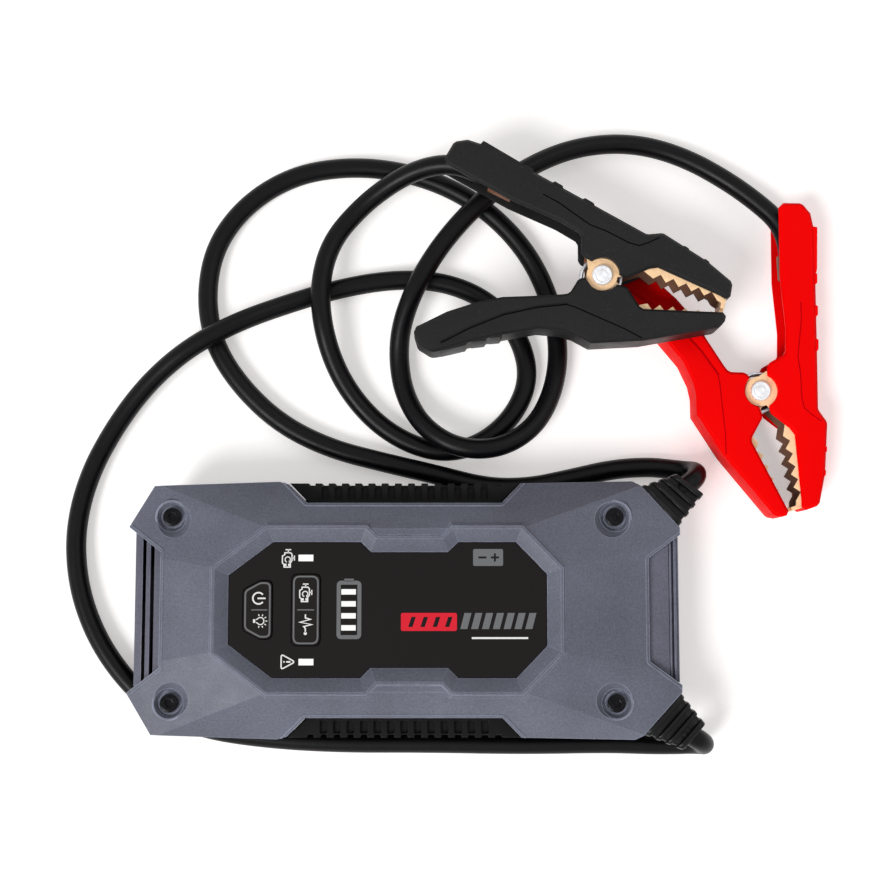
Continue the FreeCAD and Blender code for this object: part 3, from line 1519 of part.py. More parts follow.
save("top_cover", make_top_cover())
save("bottom_shell", make_bottom_shell())
save("case_seal", make_case_seal())
save("rubber_feet", make_rubber_feet())
save("cover_screws", make_cover_screws())
rear_grip = make_rear_grip()
save("rear_grip", rear_grip)
save("front_grip", mirror_y(rear_grip))
save("end_louvre", make_end_louvre())
save("end_panel", make_end_panel())
save("label_panel", make_label_panel())
save("power_button", make_button(power_key(), switch_places[:2]))
save("boost_button", make_button(boost_key(), switch_places[2:]))
save("status_windows", make_windows(status_places, status_bar))
save("gauge_windows", make_windows(gauge_places(), gauge_bar))
save("battery_cells", make_battery_cells())
save("cell_links", make_cell_links())
save("battery_tray", make_battery_tray())
save("main_board", make_main_board())
save("board_screws", make_board_screws())
save("tact_switches", make_tact_switches())
save("board_leds", make_board_leds())
save("board_chips", make_board_chips())
save("heat_sink", make_heat_sink())
save("port_board", make_port_board())
save("usb_sockets", make_usb_sockets())
save("port_door", make_port_door())
save("door_pin", make_door_pin())
save("light_lens", make_light_lens())
save("light_reflector", make_light_reflector())
save("light_board", make_light_board())
bush = make_bush()
save("positive_strain_relief", bush)
save("negative_strain_relief", mirror_y(bush))
save("positive_cord", make_cord("positive_cord", cord_points(positive_route, positive_place), cord_diameter))
save("negative_cord", make_cord("negative_cord", cord_points(negative_route, negative_place), cord_diameter))
lead = make_lead("positive_lead")
save("positive_lead", lead)
save("negative_lead", mirror_y(lead))
save("lead_lugs", make_lead_lugs())
make_clamp("positive_", positive_place)
make_clamp("negative_", negative_place)
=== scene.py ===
import json
import math

import bmesh
import bpy
from mathutils import Matrix, Vector
from mathutils.bvhtree import BVHTree


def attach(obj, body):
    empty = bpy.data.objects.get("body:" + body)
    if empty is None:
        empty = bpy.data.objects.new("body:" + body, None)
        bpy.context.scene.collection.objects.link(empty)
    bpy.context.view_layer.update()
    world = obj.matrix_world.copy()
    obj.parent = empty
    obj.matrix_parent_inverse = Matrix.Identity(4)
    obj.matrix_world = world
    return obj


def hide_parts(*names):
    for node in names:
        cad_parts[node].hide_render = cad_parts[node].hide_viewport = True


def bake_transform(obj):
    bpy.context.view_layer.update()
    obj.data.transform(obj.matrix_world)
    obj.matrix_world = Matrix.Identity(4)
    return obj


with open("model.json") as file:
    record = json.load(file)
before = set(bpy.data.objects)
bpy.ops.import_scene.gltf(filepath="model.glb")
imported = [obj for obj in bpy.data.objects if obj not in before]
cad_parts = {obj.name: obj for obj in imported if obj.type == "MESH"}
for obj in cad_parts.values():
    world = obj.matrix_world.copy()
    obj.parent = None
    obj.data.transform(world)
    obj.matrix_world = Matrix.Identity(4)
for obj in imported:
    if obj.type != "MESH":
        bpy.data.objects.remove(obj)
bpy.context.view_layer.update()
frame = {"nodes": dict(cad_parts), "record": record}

MM = 0.001
# Corners nearer than this are one
WELD = 2e-6
BODY_OF = {node: body for body, nodes in frame["record"]["behaviour"]["bodies"].items() for node in nodes}
SLOT_OF = {row["node"]: row["material_slot"] for row in frame["record"]["subparts"]}


def linear(text):
    """A colour written as it looks on a screen, as linear values."""
    parts = [int(text[i:i + 2], 16) / 255 for i in (1, 3, 5)]
    return tuple(c / 12.92 if c <= 0.04045 else ((c + 0.055) / 1.055) ** 2.4 for c in parts) + (1.0,)


def scaled(color, factor):
    return tuple(min(1.0, c * factor) for c in color[:3]) + (1.0,)


# Materials
class Tree:
    """A node tree, with short calls that make its nodes."""

    def __init__(self, tree):
        self.tree = tree

    def put(self, socket, value):
        """Set a socket to a constant, or link another node's output to it."""
        if isinstance(value, bpy.types.NodeSocket):
            self.tree.links.new(value, socket)
        else:
            socket.default_value = value

    def node(self, kind, *sockets, **settings):
        """A new node, from its settings and then from (socket, value) pairs."""
        made = self.tree.nodes.new("ShaderNode" + kind)
        for key, value in settings.items():
            setattr(made, key, value)
        for key, value in sockets:
            self.put(made.inputs[key], value)
        return made

    def math(self, operation, *values):
        return self.node("Math", *enumerate(values), operation=operation).outputs[0]

    def seen(self):
        """One for what is seen, straight or by a mirror or glass, and zero for what lights the scene."""
        rays = self.node("LightPath").outputs
        return self.math("MAXIMUM", rays["Is Camera Ray"],
                         self.math("MAXIMUM", rays["Is Glossy Ray"], rays["Is Transmission Ray"]))


class Graph(Tree):
    """A material's nodes."""

    def __init__(self, name):
        self.material = bpy.data.materials.new(name)
        self.material.use_nodes = True
        super().__init__(self.material.node_tree)
        self.tree.nodes.clear()
        self.shader = self.node("BsdfPrincipled")
        self.node("OutputMaterial", (0, self.shader.outputs[0]))
        self.place = self.node("TexCoord").outputs["Object"]

    def shade(self, **values):
        """Set the shader's sockets, with their names' spaces as underscores."""
        for key, value in values.items():
            self.put(self.shader.inputs[key.replace("_", " ")], value)

    def noise(self, size_mm, detail=2.0, rough=0.5, stretch=None):
        """Noise whose features are about this many millimetres across."""
        source = self.place
        if stretch:
            source = self.node("Mapping", ("Vector", source), ("Scale", stretch)).outputs[0]
        return self.node("TexNoise", ("Vector", source), ("Scale", 1.0 / (size_mm * MM)),
                         ("Detail", detail), ("Roughness", rough)).outputs["Fac"]

    def remap(self, source, low=0.3, high=0.7, to_low=0.0, to_high=1.0):
        """A value stretched from one span, by default the most of a noise's, to another."""
        return self.node("MapRange", ("Value", source), ("From Min", low), ("From Max", high),
                         ("To Min", to_low), ("To Max", to_high)).outputs[0]

    def mix(self, factor, a, b):
        return self.node("Mix", ("Factor", factor), (6, a), (7, b), data_type="RGBA").outputs[2]

    def edges(self, radius_mm, gain):
        """High where the surface turns sharply within this distance."""
        bevel = self.node("Bevel", ("Radius", radius_mm * MM), samples=6).outputs[0]
        plain = self.node("NewGeometry").outputs["Normal"]
        turn = self.node("VectorMath", (0, bevel), (1, plain), operation="DOT_PRODUCT")
        return self.remap(turn.outputs["Value"], 1.0, 1.0 - 1.0 / gain)

    def bump(self, height, depth_mm):
        made = self.node("Bump", ("Height", height), ("Distance", depth_mm * MM), ("Strength", 1.0))
        self.shade(Normal=made.outputs[0])


def moulded(name, color, rough=0.5, grain=0.45, depth=0.02, vary=0.12, edge=0.35, speck=0.0, spread=0.08,
            specular=0.5, glint=2.1, keen=3.0):
    """Moulded plastic or rubber: fine grain, slight cloudiness, and a painted highlight that makes its edges
    lighter.
    """
    g = Graph(name)
    base = linear(color)
    fine = g.noise(grain, 3.0, 0.6)
    cloud = g.noise(34.0, 3.0, 0.5)
    tone = g.math("ADD", g.math("MULTIPLY", g.remap(fine), 0.6),
                  g.math("MULTIPLY", g.remap(cloud), 0.4))
    surface = g.mix(tone, scaled(base, 1 - vary), scaled(base, 1 + vary))
    # Painted highlight: where the surface turns sharply, the colour is lifted towards the base times glint,
    # patchy by a noise
    if edge:
        edge_highlight = g.math("MULTIPLY", g.edges(0.7, keen), g.remap(g.noise(5.0, 4.0, 0.6), 0.35, 0.75, 0.35, 1.0))
        surface = g.mix(g.math("MULTIPLY", edge_highlight, edge), surface, scaled(base, glint))
    if speck:
        dust = g.remap(g.noise(1.1, 1.0, 0.4), 0.72, 0.78, 0.0, speck)
        surface = g.mix(dust, surface, (0.55, 0.55, 0.53, 1.0))
    g.shade(Base_Color=surface, Specular_IOR_Level=specular,
            Roughness=g.remap(g.noise(7.0, 3.0, 0.6), 0.25, 0.75, rough - spread, rough + spread))
    g.bump(fine, depth)
    return g.material


def metal(name, color, rough=0.3, streak=(1.0, 1.0, 1.0), tarnish=None, amount=0.3, metallic=1.0):
    """Plated or bare metal, with cloudy roughness and a little tarnish."""
    g = Graph(name)
    base = linear(color)
    streaks = g.noise(1.6, 4.0, 0.65, streak)
    stain = g.remap(g.noise(6.0, 4.0, 0.6), 0.45, 0.7, 0.0, amount)
    surface = g.mix(g.remap(streaks), scaled(base, 0.88), scaled(base, 1.08))
    surface = g.mix(stain, surface, linear(tarnish) if tarnish else scaled(base, 0.55))
    g.shade(Base_Color=surface, Metallic=metallic,
            Roughness=g.remap(streaks, 0.2, 0.8, rough - 0.09, rough + 0.12))
    g.bump(streaks, 0.01)
    return g.material


def printed(name, color, rough=0.42, specular=0.3):
    """Screen-printed ink: nearly even, with a faint mottle."""
    g = Graph(name)
    base = linear(color)
    g.shade(Base_Color=g.mix(g.remap(g.noise(0.6, 2.0)), scaled(base, 0.94), scaled(base, 1.03)),
            Roughness=g.remap(g.noise(2.5), 0.3, 0.7, rough - 0.05, rough + 0.05),
            Specular_IOR_Level=specular)
    return g.material


def clear(name, color, rough=0.06, glow=0.0):
    """A clear window, or a milky one that glows."""
    g = Graph(name)
    base = linear(color)
    g.shade(Base_Color=g.mix(g.remap(g.noise(3.0)), scaled(base, 0.93), base),
            Roughness=g.remap(g.noise(4.0), 0.3, 0.7, rough, rough + 0.08),
            Transmission_Weight=0.0 if glow else 0.85, IOR=1.49, Coat_Weight=0.3)
    if glow:
        g.shade(Emission_Color=base, Emission_Strength=glow)
    return g.material


def jacket(name, color):
    """A cord's soft jacket: smooth, with fine drag marks, dust and a soft shine."""
    g = Graph(name)
    base = linear(color)
    marks = g.noise(2.2, 4.0, 0.7)
    dust = g.remap(g.noise(0.8, 2.0), 0.68, 0.8, 0.0, 0.2)
    surface = g.mix(g.remap(marks), scaled(base, 0.75), scaled(base, 1.5))
    g.shade(Base_Color=g.mix(dust, surface, (0.12, 0.12, 0.125, 1.0)), Specular_IOR_Level=0.14,
            Roughness=g.remap(g.noise(9.0, 3.0), 0.3, 0.7, 0.31, 0.42))
    g.bump(marks, 0.03)
    return g.material


def board(name, color):
    """A circuit board with copper tracks under its mask."""
    g = Graph(name)
    tracks = g.node("TexBrick", ("Vector", g.place), ("Scale", 240.0), ("Color1", linear(color)),
                    ("Color2", linear("#0c4a2a")), ("Mortar", linear("#2a8a55")), ("Mortar Size", 0.05))
    g.shade(Base_Color=tracks.outputs["Color"], Roughness=g.remap(g.noise(4.0), 0.3, 0.7, 0.3, 0.42))
    g.bump(g.noise(0.7), 0.02)
    return g.material


# Each material's maker, its colour as it looks on a screen, and what differs from the maker's own values
# For moulded, edge and glint set how strongly the edges are lifted by the painted highlight
INKED = dict(grain=0.3, depth=0.006, vary=0.08, spread=0.04, specular=0.14, glint=4.0)
LOOKS = {
    "slate_plastic": (moulded, "#636673", dict(
        grain=0.8, depth=0.1, vary=0.34, edge=1.0, spread=0.06, specular=0.32, glint=3.4, keen=16.0)),
    "slate_dark": (moulded, "#5c5d6b", dict(
        grain=0.8, depth=0.09, vary=0.42, edge=0.75, specular=0.4, glint=3.0, keen=10.0)),
    "black_plastic": (moulded, "#090909", dict(
        rough=0.55, grain=0.5, depth=0.03, vary=0.2, edge=0.5, specular=0.13, glint=6.0, keen=6.0)),
    "black_rubber": (moulded, "#050506", dict(
        rough=0.34, grain=0.6, depth=0.03, vary=0.25, edge=0.5, specular=0.2, glint=12.0, keen=4.0)),
    "clamp_black": (moulded, "#131314", dict(
        grain=1.1, depth=0.08, vary=0.45, speck=0.015, specular=0.2, glint=5.0)),
    "red_plastic": (moulded, "#ff0304", dict(
        grain=0.8, depth=0.05, vary=0.05, edge=0.08, specular=0.03)),
    "panel_plastic": (moulded, "#0d0a09", dict(edge=0.25, **INKED)),
    "key_plastic": (moulded, "#130f0e", dict(edge=0.3, **INKED)),
    "chip_black": (moulded, "#1a1a1b", dict(edge=0.1)),
    "screw_steel": (metal, "#1d1d1f", dict(rough=0.26, tarnish="#0e0e0e")),
    "spring_steel": (metal, "#e2e3e8", dict(rough=0.24, amount=0.1, metallic=0.6)),
    "rivet_steel": (metal, "#f2f2f5", dict(amount=0.08, metallic=0.35)),
    "copper_plate": (metal, "#ffd2a3", dict(
        rough=0.36, streak=(1.0, 1.0, 4.0), tarnish="#eeb98c", amount=0.25, metallic=0.15)),
    # Copper darkened as painted shade, for the faces inside the jaws' channels; the crimps take it too
    "copper_inner": (metal, "#7a4f37", dict(rough=0.5, tarnish="#4c3022", metallic=0.1)),
    # Darker lines along the handles' creases, painted shade for their grooves, made like printed ink
    "black_line": (printed, "#010101", dict(rough=0.6, specular=0.02)),
    "red_line": (printed, "#c0000a", dict(rough=0.6, specular=0.02)),
    "lug_copper": (metal, "#c98f66", dict(rough=0.35, tarnish="#7c4f31")),
    "cell_foil": (metal, "#b9bcc0", dict(rough=0.4, amount=0.15)),
    "sink_aluminium": (metal, "#b4b6ba", dict(rough=0.38)),
    "link_nickel": (metal, "#b7b6ae", dict(rough=0.34)),
    "socket_steel": (metal, "#bcbcc0", dict(rough=0.25)),
    "mirror_plastic": (metal, "#e4e5e8", dict(rough=0.14, amount=0.05)),
    "window_plastic": (clear, "#f2f2f0", dict(rough=0.35, glow=0.25)),
    "led_white": (clear, "#f5f1dc", dict(rough=0.3, glow=0.2)),
    "clear_plastic": (clear, "#eef2f5", {}),
    "board_green": (board, "#0f5a33", {}),
    "cord_black": (jacket, "#050507", {}),
    "lead_red": (moulded, "#a81414", dict(rough=0.4, edge=0.0)),
    "ink_white": (printed, "#f4f4f2", {}),
    "ink_grey": (printed, "#6d6e70", {}),
    "ink_red": (printed, "#e0142d", {}),
}
MATERIAL = {name: make(name, color, **values) for name, (make, color, values) in LOOKS.items()}


def dress(thing, name):
    thing.data.materials.clear()
    thing.data.materials.append(MATERIAL[name])


# Every node first gets the material of its slot
for node, thing in frame["nodes"].items():
    dress(thing, SLOT_OF[node])


# Making pieces
def add(name, data, material=None):
    thing = bpy.data.objects.new(name, data)
    bpy.context.scene.collection.objects.link(thing)
    if material:
        dress(thing, material)
    return thing


def settled(thing):
    """The thing with its modifiers or curve turned into a plain mesh."""
    graph = bpy.context.evaluated_depsgraph_get()
    mesh = bpy.data.meshes.new_from_object(thing.evaluated_get(graph))
    name = thing.name
    mesh.name = name
    mesh.materials.clear()
    mesh.materials.append(thing.data.materials[0])
    bpy.data.objects.remove(thing)
    return add(name, mesh)


def smooth(thing, angle=35.0):
    """Shade a thing smooth, apart from edges sharper than this."""
    thing.data.shade_smooth()
    thing.data.set_sharp_from_angle(angle=math.radians(angle))


def ride_as(thing, body, slot):
    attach(thing, body)
    return thing


def seat(thing, node):
    """The piece stands for a node, whose own form is hidden: it rides on the node's body."""
    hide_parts(node)
    return ride_as(thing, BODY_OF[node], SLOT_OF[node])


def softened(node, width, segments, angle, material=None, cutter=None, seated=True):
    """A node's form, less a cutter's form, with the edges that turn by more than this angle rounded."""
    mesh = frame["nodes"][node].data.copy()
    work = bmesh.new()
    work.from_mesh(mesh)
    bmesh.ops.remove_doubles(work, verts=work.verts, dist=WELD)
    bmesh.ops.dissolve_limit(work, angle_limit=math.radians(0.6), verts=work.verts, edges=work.edges)
    bmesh.ops.recalc_face_normals(work, faces=work.faces)
    work.to_mesh(mesh)
    work.free()
    thing = add(node + "_form", mesh, material or SLOT_OF[node])
    if cutter:
        carve = thing.modifiers.new("carve", "BOOLEAN")
        carve.operation = "DIFFERENCE"
        carve.solver = "EXACT"
        carve.object = cutter
    bevel = thing.modifiers.new("bevel", "BEVEL")
    bevel.width = width * MM
    bevel.segments = segments
    bevel.limit_method = "ANGLE"
    bevel.angle_limit = math.radians(angle)
    bevel.miter_outer = "MITER_ARC"
    even = thing.modifiers.new("even", "WEIGHTED_NORMAL")
    even.keep_sharp = True
    thing = settled(thing)
    thing.data.shade_smooth()
    if cutter:
        bpy.data.objects.remove(cutter)
    return seat(thing, node) if seated else thing


def band(work, low, high):
    """Faces between two closed rows of corners."""
    for i in range(len(low)):
        j = (i + 1) % len(low)
        work.faces.new((low[i], low[j], high[j], high[i]))


def swept(name, profile, base, segments, material, radius_at=None, hollow=False):
    """A round upright piece, from (radius, height) pairs in millimetres."""
    work = bmesh.new()
    rings = []
    for k, (radius, height) in enumerate(profile):
        ring = []
        for i in range(segments):
            a = 2 * math.pi * i / segments
            r = radius * (radius_at(k, a) if radius_at else 1.0)
            point = Vector((r * math.cos(a), r * math.sin(a), height)) * MM
            ring.append(work.verts.new(point + Vector(base) * MM))
        rings.append(ring)
    for low, high in zip(rings, rings[1:]):
        band(work, low, high)
    if hollow:
        band(work, rings[-1], rings[0])
    else:
        work.faces.new(list(reversed(rings[0])))
        work.faces.new(rings[-1])
    return finished(work, name, material)


def finished(work, name, material, angle=35.0):
    """A worked mesh as an object, with its sharp edges kept."""
    bmesh.ops.recalc_face_normals(work, faces=work.faces)
    mesh = bpy.data.meshes.new(name)
    work.to_mesh(mesh)
    work.free()
    thing = add(name, mesh, material)
    smooth(thing, angle)
    return thing


def plate(name, outlines, low, high, edge, material):
    """A level plate from its outline and then its holes, in millimetres, with rounded edges."""
    curve = bpy.data.curves.new(name, "CURVE")
    curve.dimensions = "2D"
    curve.fill_mode = "BOTH"
    for points in outlines:
        spline = curve.splines.new("POLY")
        spline.points.add(len(points) - 1)
        for point, (x, y) in zip(spline.points, points):
            point.co = (x * MM, y * MM, 0.0, 1.0)
        spline.use_cyclic_u = True
    curve.extrude = ((high - low) / 2 - edge) * MM
    curve.bevel_depth = edge * MM
    curve.bevel_resolution = 2
    curve.offset = -edge * MM
    thing = settled(add(name, curve, material))
    thing.data.transform(Matrix.Translation((0.0, 0.0, (low + high) / 2 * MM)))
    smooth(thing)
    return thing


def tube(name, rows, radius, roundness, material, kind="POLY"):
    """A round wire or cord along each row of points in metres."""
    curve = bpy.data.curves.new(name, "CURVE")
    curve.dimensions = "3D"
    curve.bevel_depth = radius * MM
    curve.bevel_resolution = roundness
    curve.use_fill_caps = True
    for row in rows:
        spline = curve.splines.new(kind)
        spline.points.add(len(row) - 1)
        for point, place in zip(spline.points, row):
            point.co = (*place, 1.0)
    return add(name, curve, material)


def slab(name, plan, low, top, edge, material):
    """A solid over a plan, level below and with its top at a height or on a slope, with rounded edges."""
    work = bmesh.new()
    lower = [work.verts.new(Vector((x, y, low)) * MM) for x, y in plan]
    upper = [work.verts.new(Vector((x, y, top(x) if callable(top) else top)) * MM) for x, y in plan]
    work.faces.new(lower)
    work.faces.new(upper)
    band(work, lower, upper)
    bmesh.ops.recalc_face_normals(work, faces=work.faces)
    bmesh.ops.bevel(work, geom=work.edges[:], offset=edge * MM, segments=2, profile=0.5, affect="EDGES")
    return finished(work, name, material)


def kept(node, point, normal):
    """The closed part of a node's form that lies behind a plane."""
    work = bmesh.new()
    work.from_mesh(frame["nodes"][node].data)
    bmesh.ops.remove_doubles(work, verts=work.verts, dist=WELD)
    everything = work.verts[:] + work.edges[:] + work.faces[:]
    cut = bmesh.ops.bisect_plane(work, geom=everything, plane_co=Vector(point) * MM, plane_no=normal,
                                 clear_outer=True)
    rim = [e for e in cut["geom_cut"] if isinstance(e, bmesh.types.BMEdge)]
    bmesh.ops.triangle_fill(work, use_beauty=True, edges=rim)
    return finished(work, node + "_rest", SLOT_OF[node])


def grown(points, distance):
    """A closed outline moved outwards, or inwards if the distance is negative, with sharp corners."""
    area = sum(a[0] * b[1] - b[0] * a[1] for a, b in zip(points, points[1:] + points[:1]))
    side = 1 if area > 0 else -1
    result = []
    for i, here in enumerate(points):
        back = Vector(here) - Vector(points[i - 1])
        ahead = Vector(points[(i + 1) % len(points)]) - Vector(here)
        before = Vector((back.y, -back.x)).normalized() * side
        after = Vector((ahead.y, -ahead.x)).normalized() * side
        middle = (before + after).normalized()
        moved = Vector(here) + middle * distance / max(0.3, middle.dot(before))
        result.append((moved.x, moved.y))
    return result


def joined(name, things):
    """Several things as one, in the first one's material."""
    work = bmesh.new()
    for thing in things:
        work.from_mesh(thing.data)
    mesh = bpy.data.meshes.new(name)
    work.to_mesh(mesh)
    work.free()
    mesh.materials.append(things[0].data.materials[0])
    for thing in things:
        bpy.data.objects.remove(thing)
    made = add(name, mesh)
    smooth(made)
    return made


def oblong(x0, y0, x1, y1):
    """The outline of an oblong, from two opposite corners."""
    return [(x0, y0), (x1, y0), (x1, y1), (x0, y1)]


# Printed marks
LABEL_TOP = 41.0
KEY_TOP = 41.9
INK_HEIGHT = 0.06
STROKE, FINE_STROKE, BOLD_STROKE = 0.5, 0.42, 0.65


class Marks:
    """Flat printed shapes on one level, gathered into one thin piece."""

    def __init__(self, level, thickness=INK_HEIGHT):
        self.work = bmesh.new()
        self.level = level
        self.thickness = thickness

    def fill(self, points):
        low = [self.work.verts.new(Vector((x, y, self.level)) * MM) for x, y in points]
        high = [self.work.verts.new(Vector((x, y, self.level + self.thickness)) * MM) for x, y in points]
        self.work.faces.new(high)
        self.work.faces.new(list(reversed(low)))
        band(self.work, low, high)

    def line(self, points, width, closed=False):
        """A ribbon with mitred turns along the points."""
        count = len(points)
        sides = []
        for i, (x, y) in enumerate(points):
            before = points[i - 1] if closed or i > 0 else None
            after = points[(i + 1) % count] if closed or i < count - 1 else None
            normals = []
            for a, b in ((before, (x, y)), ((x, y), after)):
                if a is None or b is None:
                    continue
                d = Vector((b[0] - a[0], b[1] - a[1])).normalized()
                normals.append(Vector((-d.y, d.x)))
            normal = sum(normals, Vector((0, 0))).normalized()
            reach = width / 2 / max(0.35, normal.dot(normals[0]))
            dx, dy = normal.x * reach, normal.y * reach
            sides.append(((x + dx, y + dy), (x - dx, y - dy)))
        nexts = sides[1:] + sides[:1] if closed else sides[1:]
        for (a, b), (c, d) in zip(sides, nexts):
            self.fill([b, d, c, a])

    def build(self, name, material, body, slot):
        return ride_as(finished(self.work, name, material), body, slot)


def arc(cx, cy, radius, start, end, count):
    """Points on an arc, angles in degrees."""
    turns = [math.radians(start + (end - start) * i / count) for i in range(count + 1)]
    return [(cx + radius * math.cos(a), cy + radius * math.sin(a)) for a in turns]


def rounded(points, radius, count=5):
    """A closed outline with round corners."""
    result = []
    for i, point in enumerate(points):
        here = Vector(point)
        back = Vector(points[i - 1]) - here
        ahead = Vector(points[(i + 1) % len(points)]) - here
        reach = min(back.length, ahead.length) * 0.48
        back.normalize()
        ahead.normalize()
        half = back.angle(ahead) / 2
        reach = min(reach, radius / math.tan(half))
        start, end = here + back * reach, here + ahead * reach
        for k in range(count + 1):
            t = k / count
            p = start * (1 - t) ** 2 + here * 2 * t * (1 - t) + end * t ** 2
            result.append((p.x, p.y))
    return result


# An engine block's outline, with x to the reader's right and y up
ENGINE = [(-2.4, -1.5), (-2.4, 1), (-1.7, 1.6), (1, 1.6), (1.8, 0.9), (2.5, 0.9), (2.5, 0.2), (3, 0.2),
          (3, 0.9), (3.7, 0.9), (3.7, -1.8), (3, -1.8), (3, -1), (2.5, -1), (2.5, -1.9), (1.9, -2.5),
          (-1, -2.5), (-1.6, -1.5)]


def facing(points, x, y):
    """Points of a sign, drawn right and up for someone who reads it from the left end, on the panel."""
    return [(x + up, y - right) for right, up in points]


def engine_sign(marks, x, y):
    """A motor block with a round arrow."""
    for points in ([(-3.7, -1.2), (-3.7, 1.2)], [(-3.7, 0.0), (-2.5, 0.0)], [(-1.2, 2.6), (0.9, 2.6)],
                   [(-0.15, 2.6), (-0.15, 1.7)]):
        marks.line(facing(points, x, y), STROKE)
    marks.line(facing(ENGINE, x, y), STROKE, closed=True)
    marks.line(facing(arc(0.5, -0.2, 1.15, 50, 340, 16), x, y), FINE_STROKE)
    marks.fill(facing([(0.85, 0.2), (2.0, 0.35), (1.35, 1.15)], x, y))


def bulb_sign(marks, x, y):
    """A lit bulb with its rays."""
    bulb = [(-0.62, -1.35)] + arc(0.0, 0.5, 1.5, 235, -55, 20) + [(0.62, -1.35)]
    marks.line(facing(bulb, x, y), FINE_STROKE)
    marks.fill(facing(oblong(-0.75, -2.6, 0.75, -1.65), x, y))
    for angle in (-15, 20, 55, 90, 125, 160, 195):
        a = math.radians(angle)
        spots = [(r * math.cos(a), 0.5 + r * math.sin(a)) for r in (2.15, 2.95)]
        marks.line(facing(spots, x, y), FINE_STROKE)


def make_panel_marks():
    """Engine and warning signs, a battery's frame, a badge with slanted bars, a plate and stripes."""
    white = Marks(LABEL_TOP)
    grey = Marks(LABEL_TOP)
    red = Marks(LABEL_TOP)
    engine_sign(white, -49.5, 21.8)
    warning = rounded([(-52.1, -25.1), (-46.2, -21.9), (-52.1, -18.7)], 0.7, 4)
    white.line(warning, 0.55, closed=True)
    white.fill([(-50, -22.2), (-48.2, -22.3), (-48.2, -21.5), (-50, -21.6)])
    white.fill(arc(-50.9, -21.9, 0.36, 0, 360, 12)[:-1])
    battery = rounded(oblong(-27.9, -11.5, -19.1, 11.5), 1.2, 4)
    grey.line(battery, 1.7, closed=True)
    grey.fill(oblong(-25.5, 12.1, -21.5, 13.2))
    red.fill(rounded(oblong(-1.4, -8.9, 22.4, -1.3), 0.9, 4))
    grey.fill(rounded(oblong(29.3, 18.6, 42.1, 25.8), 0.8, 4))
    for i in range(7):
        x = 25.2 + 4.6 * i
        grey.fill([(x - 1.4, -8.1), (x + 1.6, -8.1), (x + 3.4, -1.3), (x + 0.4, -1.3)])
    white.fill(oblong(28.7, -12.3, 52.6, -11.5))
    white.build("panel_signs", "ink_white", "case", "window_plastic")
    grey.build("panel_frames", "ink_grey", "case", "panel_plastic")
    red.build("panel_badge", "ink_red", "case", "red_plastic")
    dark = Marks(LABEL_TOP + INK_HEIGHT)
    for i in range(4):
        x = 2.6 + 5.2 * i
        dark.fill([(x - 0.9, -7.2), (x + 0.9, -7.2), (x + 2.3, -3.0), (x + 0.5, -3.0)])
    for corners in ((31.6, 21.8, 35.0, 22.6), (36.9, 21.8, 40.3, 22.6), (38.2, 20.5, 39.0, 21.8),
                    (38.2, 22.6, 39.0, 23.9)):
        dark.fill(oblong(*corners))
    dark.build("panel_badge_signs", "panel_plastic", "case", "panel_plastic")


def make_key_frame(name, body, outline, x0, x1):
    """A key's printed border, and the short bar between its two signs."""
    border = Marks(KEY_TOP)
    border.line(rounded(outline, KEY_CORNER), 0.7, closed=True)
    border.fill(oblong(x0, -STROKE / 2, x1, STROKE / 2))
    border.build(name, "ink_grey", body, "key_plastic")


def make_power_marks():
    """A power sign and a lamp sign."""
    outline = [(-67.5, 7.9), (-61.2, 11.3), (-57.1, 11.3), (-57.1, -11.3), (-61.2, -11.3), (-67.5, -7.9)]
    make_key_frame("power_key_frame", "power_key", outline, -64.9, -58.1)
    signs = Marks(KEY_TOP)
    signs.line(arc(-61.9, 4.9, 2.4, 40, 320, 22), BOLD_STROKE)
    signs.fill(oblong(-62.3, 4.55, -58.9, 4.55 + BOLD_STROKE))
    bulb_sign(signs, -61.5, -4.7)
    signs.build("power_key_signs", "ink_white", "power_key", "window_plastic")


def make_boost_marks():
    """An engine sign and a pulse."""
    make_key_frame("boost_key_frame", "boost_key", oblong(-46.9, -14.1, -36.7, 14.1), -45.4, -38.2)
    signs = Marks(KEY_TOP)
    engine_sign(signs, -41.9, 7.2)
    pulse = [(-41.9, -1.9), (-41.9, -3.4), (-39.8, -4.0), (-44.2, -5.2), (-39.2, -6.2), (-42.6, -7.0),
             (-41.9, -7.8), (-41.9, -9.6)]
    signs.line(pulse, 0.55)
    signs.fill(arc(-41.9, -9.9, 0.7, 0, 360, 14)[:-1])
    signs.build("boost_key_signs", "ink_white", "boost_key", "window_plastic")


# Cords
CORD_RADIUS = 4.5
POSITIVE_ROUTE = [
    (120.2, 51.9, 24), (125, 54.8, 24), (128.3, 57.9, 20.9), (129.5, 60.2, 16), (128.9, 61.4, 10.6),
    (125.3, 62, 6.4), (120, 62.8, 4.5), (109.5, 63.9, 4.5), (93, 62.8, 4.5), (74, 58.4, 4.5),
    (55, 54.4, 4.5), (36, 54.6, 4.5), (15, 60, 4.5), (-9, 65.6, 4.5), (-35, 72.2, 4.5), (-58, 83.8, 4.5),
    (-76.5, 101.5, 4.5), (-88.5, 121, 4.5), (-92.2, 143.5, 4.5), (-88, 166.5, 4.5), (-74, 185.5, 4.5),
    (-53.5, 198.5, 4.5), (-30.5, 203, 4.5), (-6.5, 201.8, 4.5), (17.5, 194.6, 4.5), (38.5, 181.6, 4.5),
    (55.5, 163, 4.5), (66, 140.5, 4.5), (69.8, 117, 4.5), (66.5, 97, 6.2), (57.2, 80.4, 10.8),
    (41, 71, 14.2), (22.8, 71.4, 14.6), (7.6, 81.2, 11.2), (-1, 96.5, 5.8), (-3.8, 112.5, 5.4),
    (-2.6, 127.5, 9.8), (3.2, 143, 14.3), (11.5, 158, 14.6), (21.5, 171.5, 14.6), (34.5, 185, 14.9),
    (51.5, 198, 14.6), (71, 208.6, 10.5), (91, 213.8, 6), (110.5, 213.2, 4.5), (129.5, 206.8, 5),
    (147, 196.3, 6.3), (160.5, 185.5, 8.4), (170.5, 175.5, 9.8), (174.35, 163.79, 10), (174.91, 150.95, 10)]
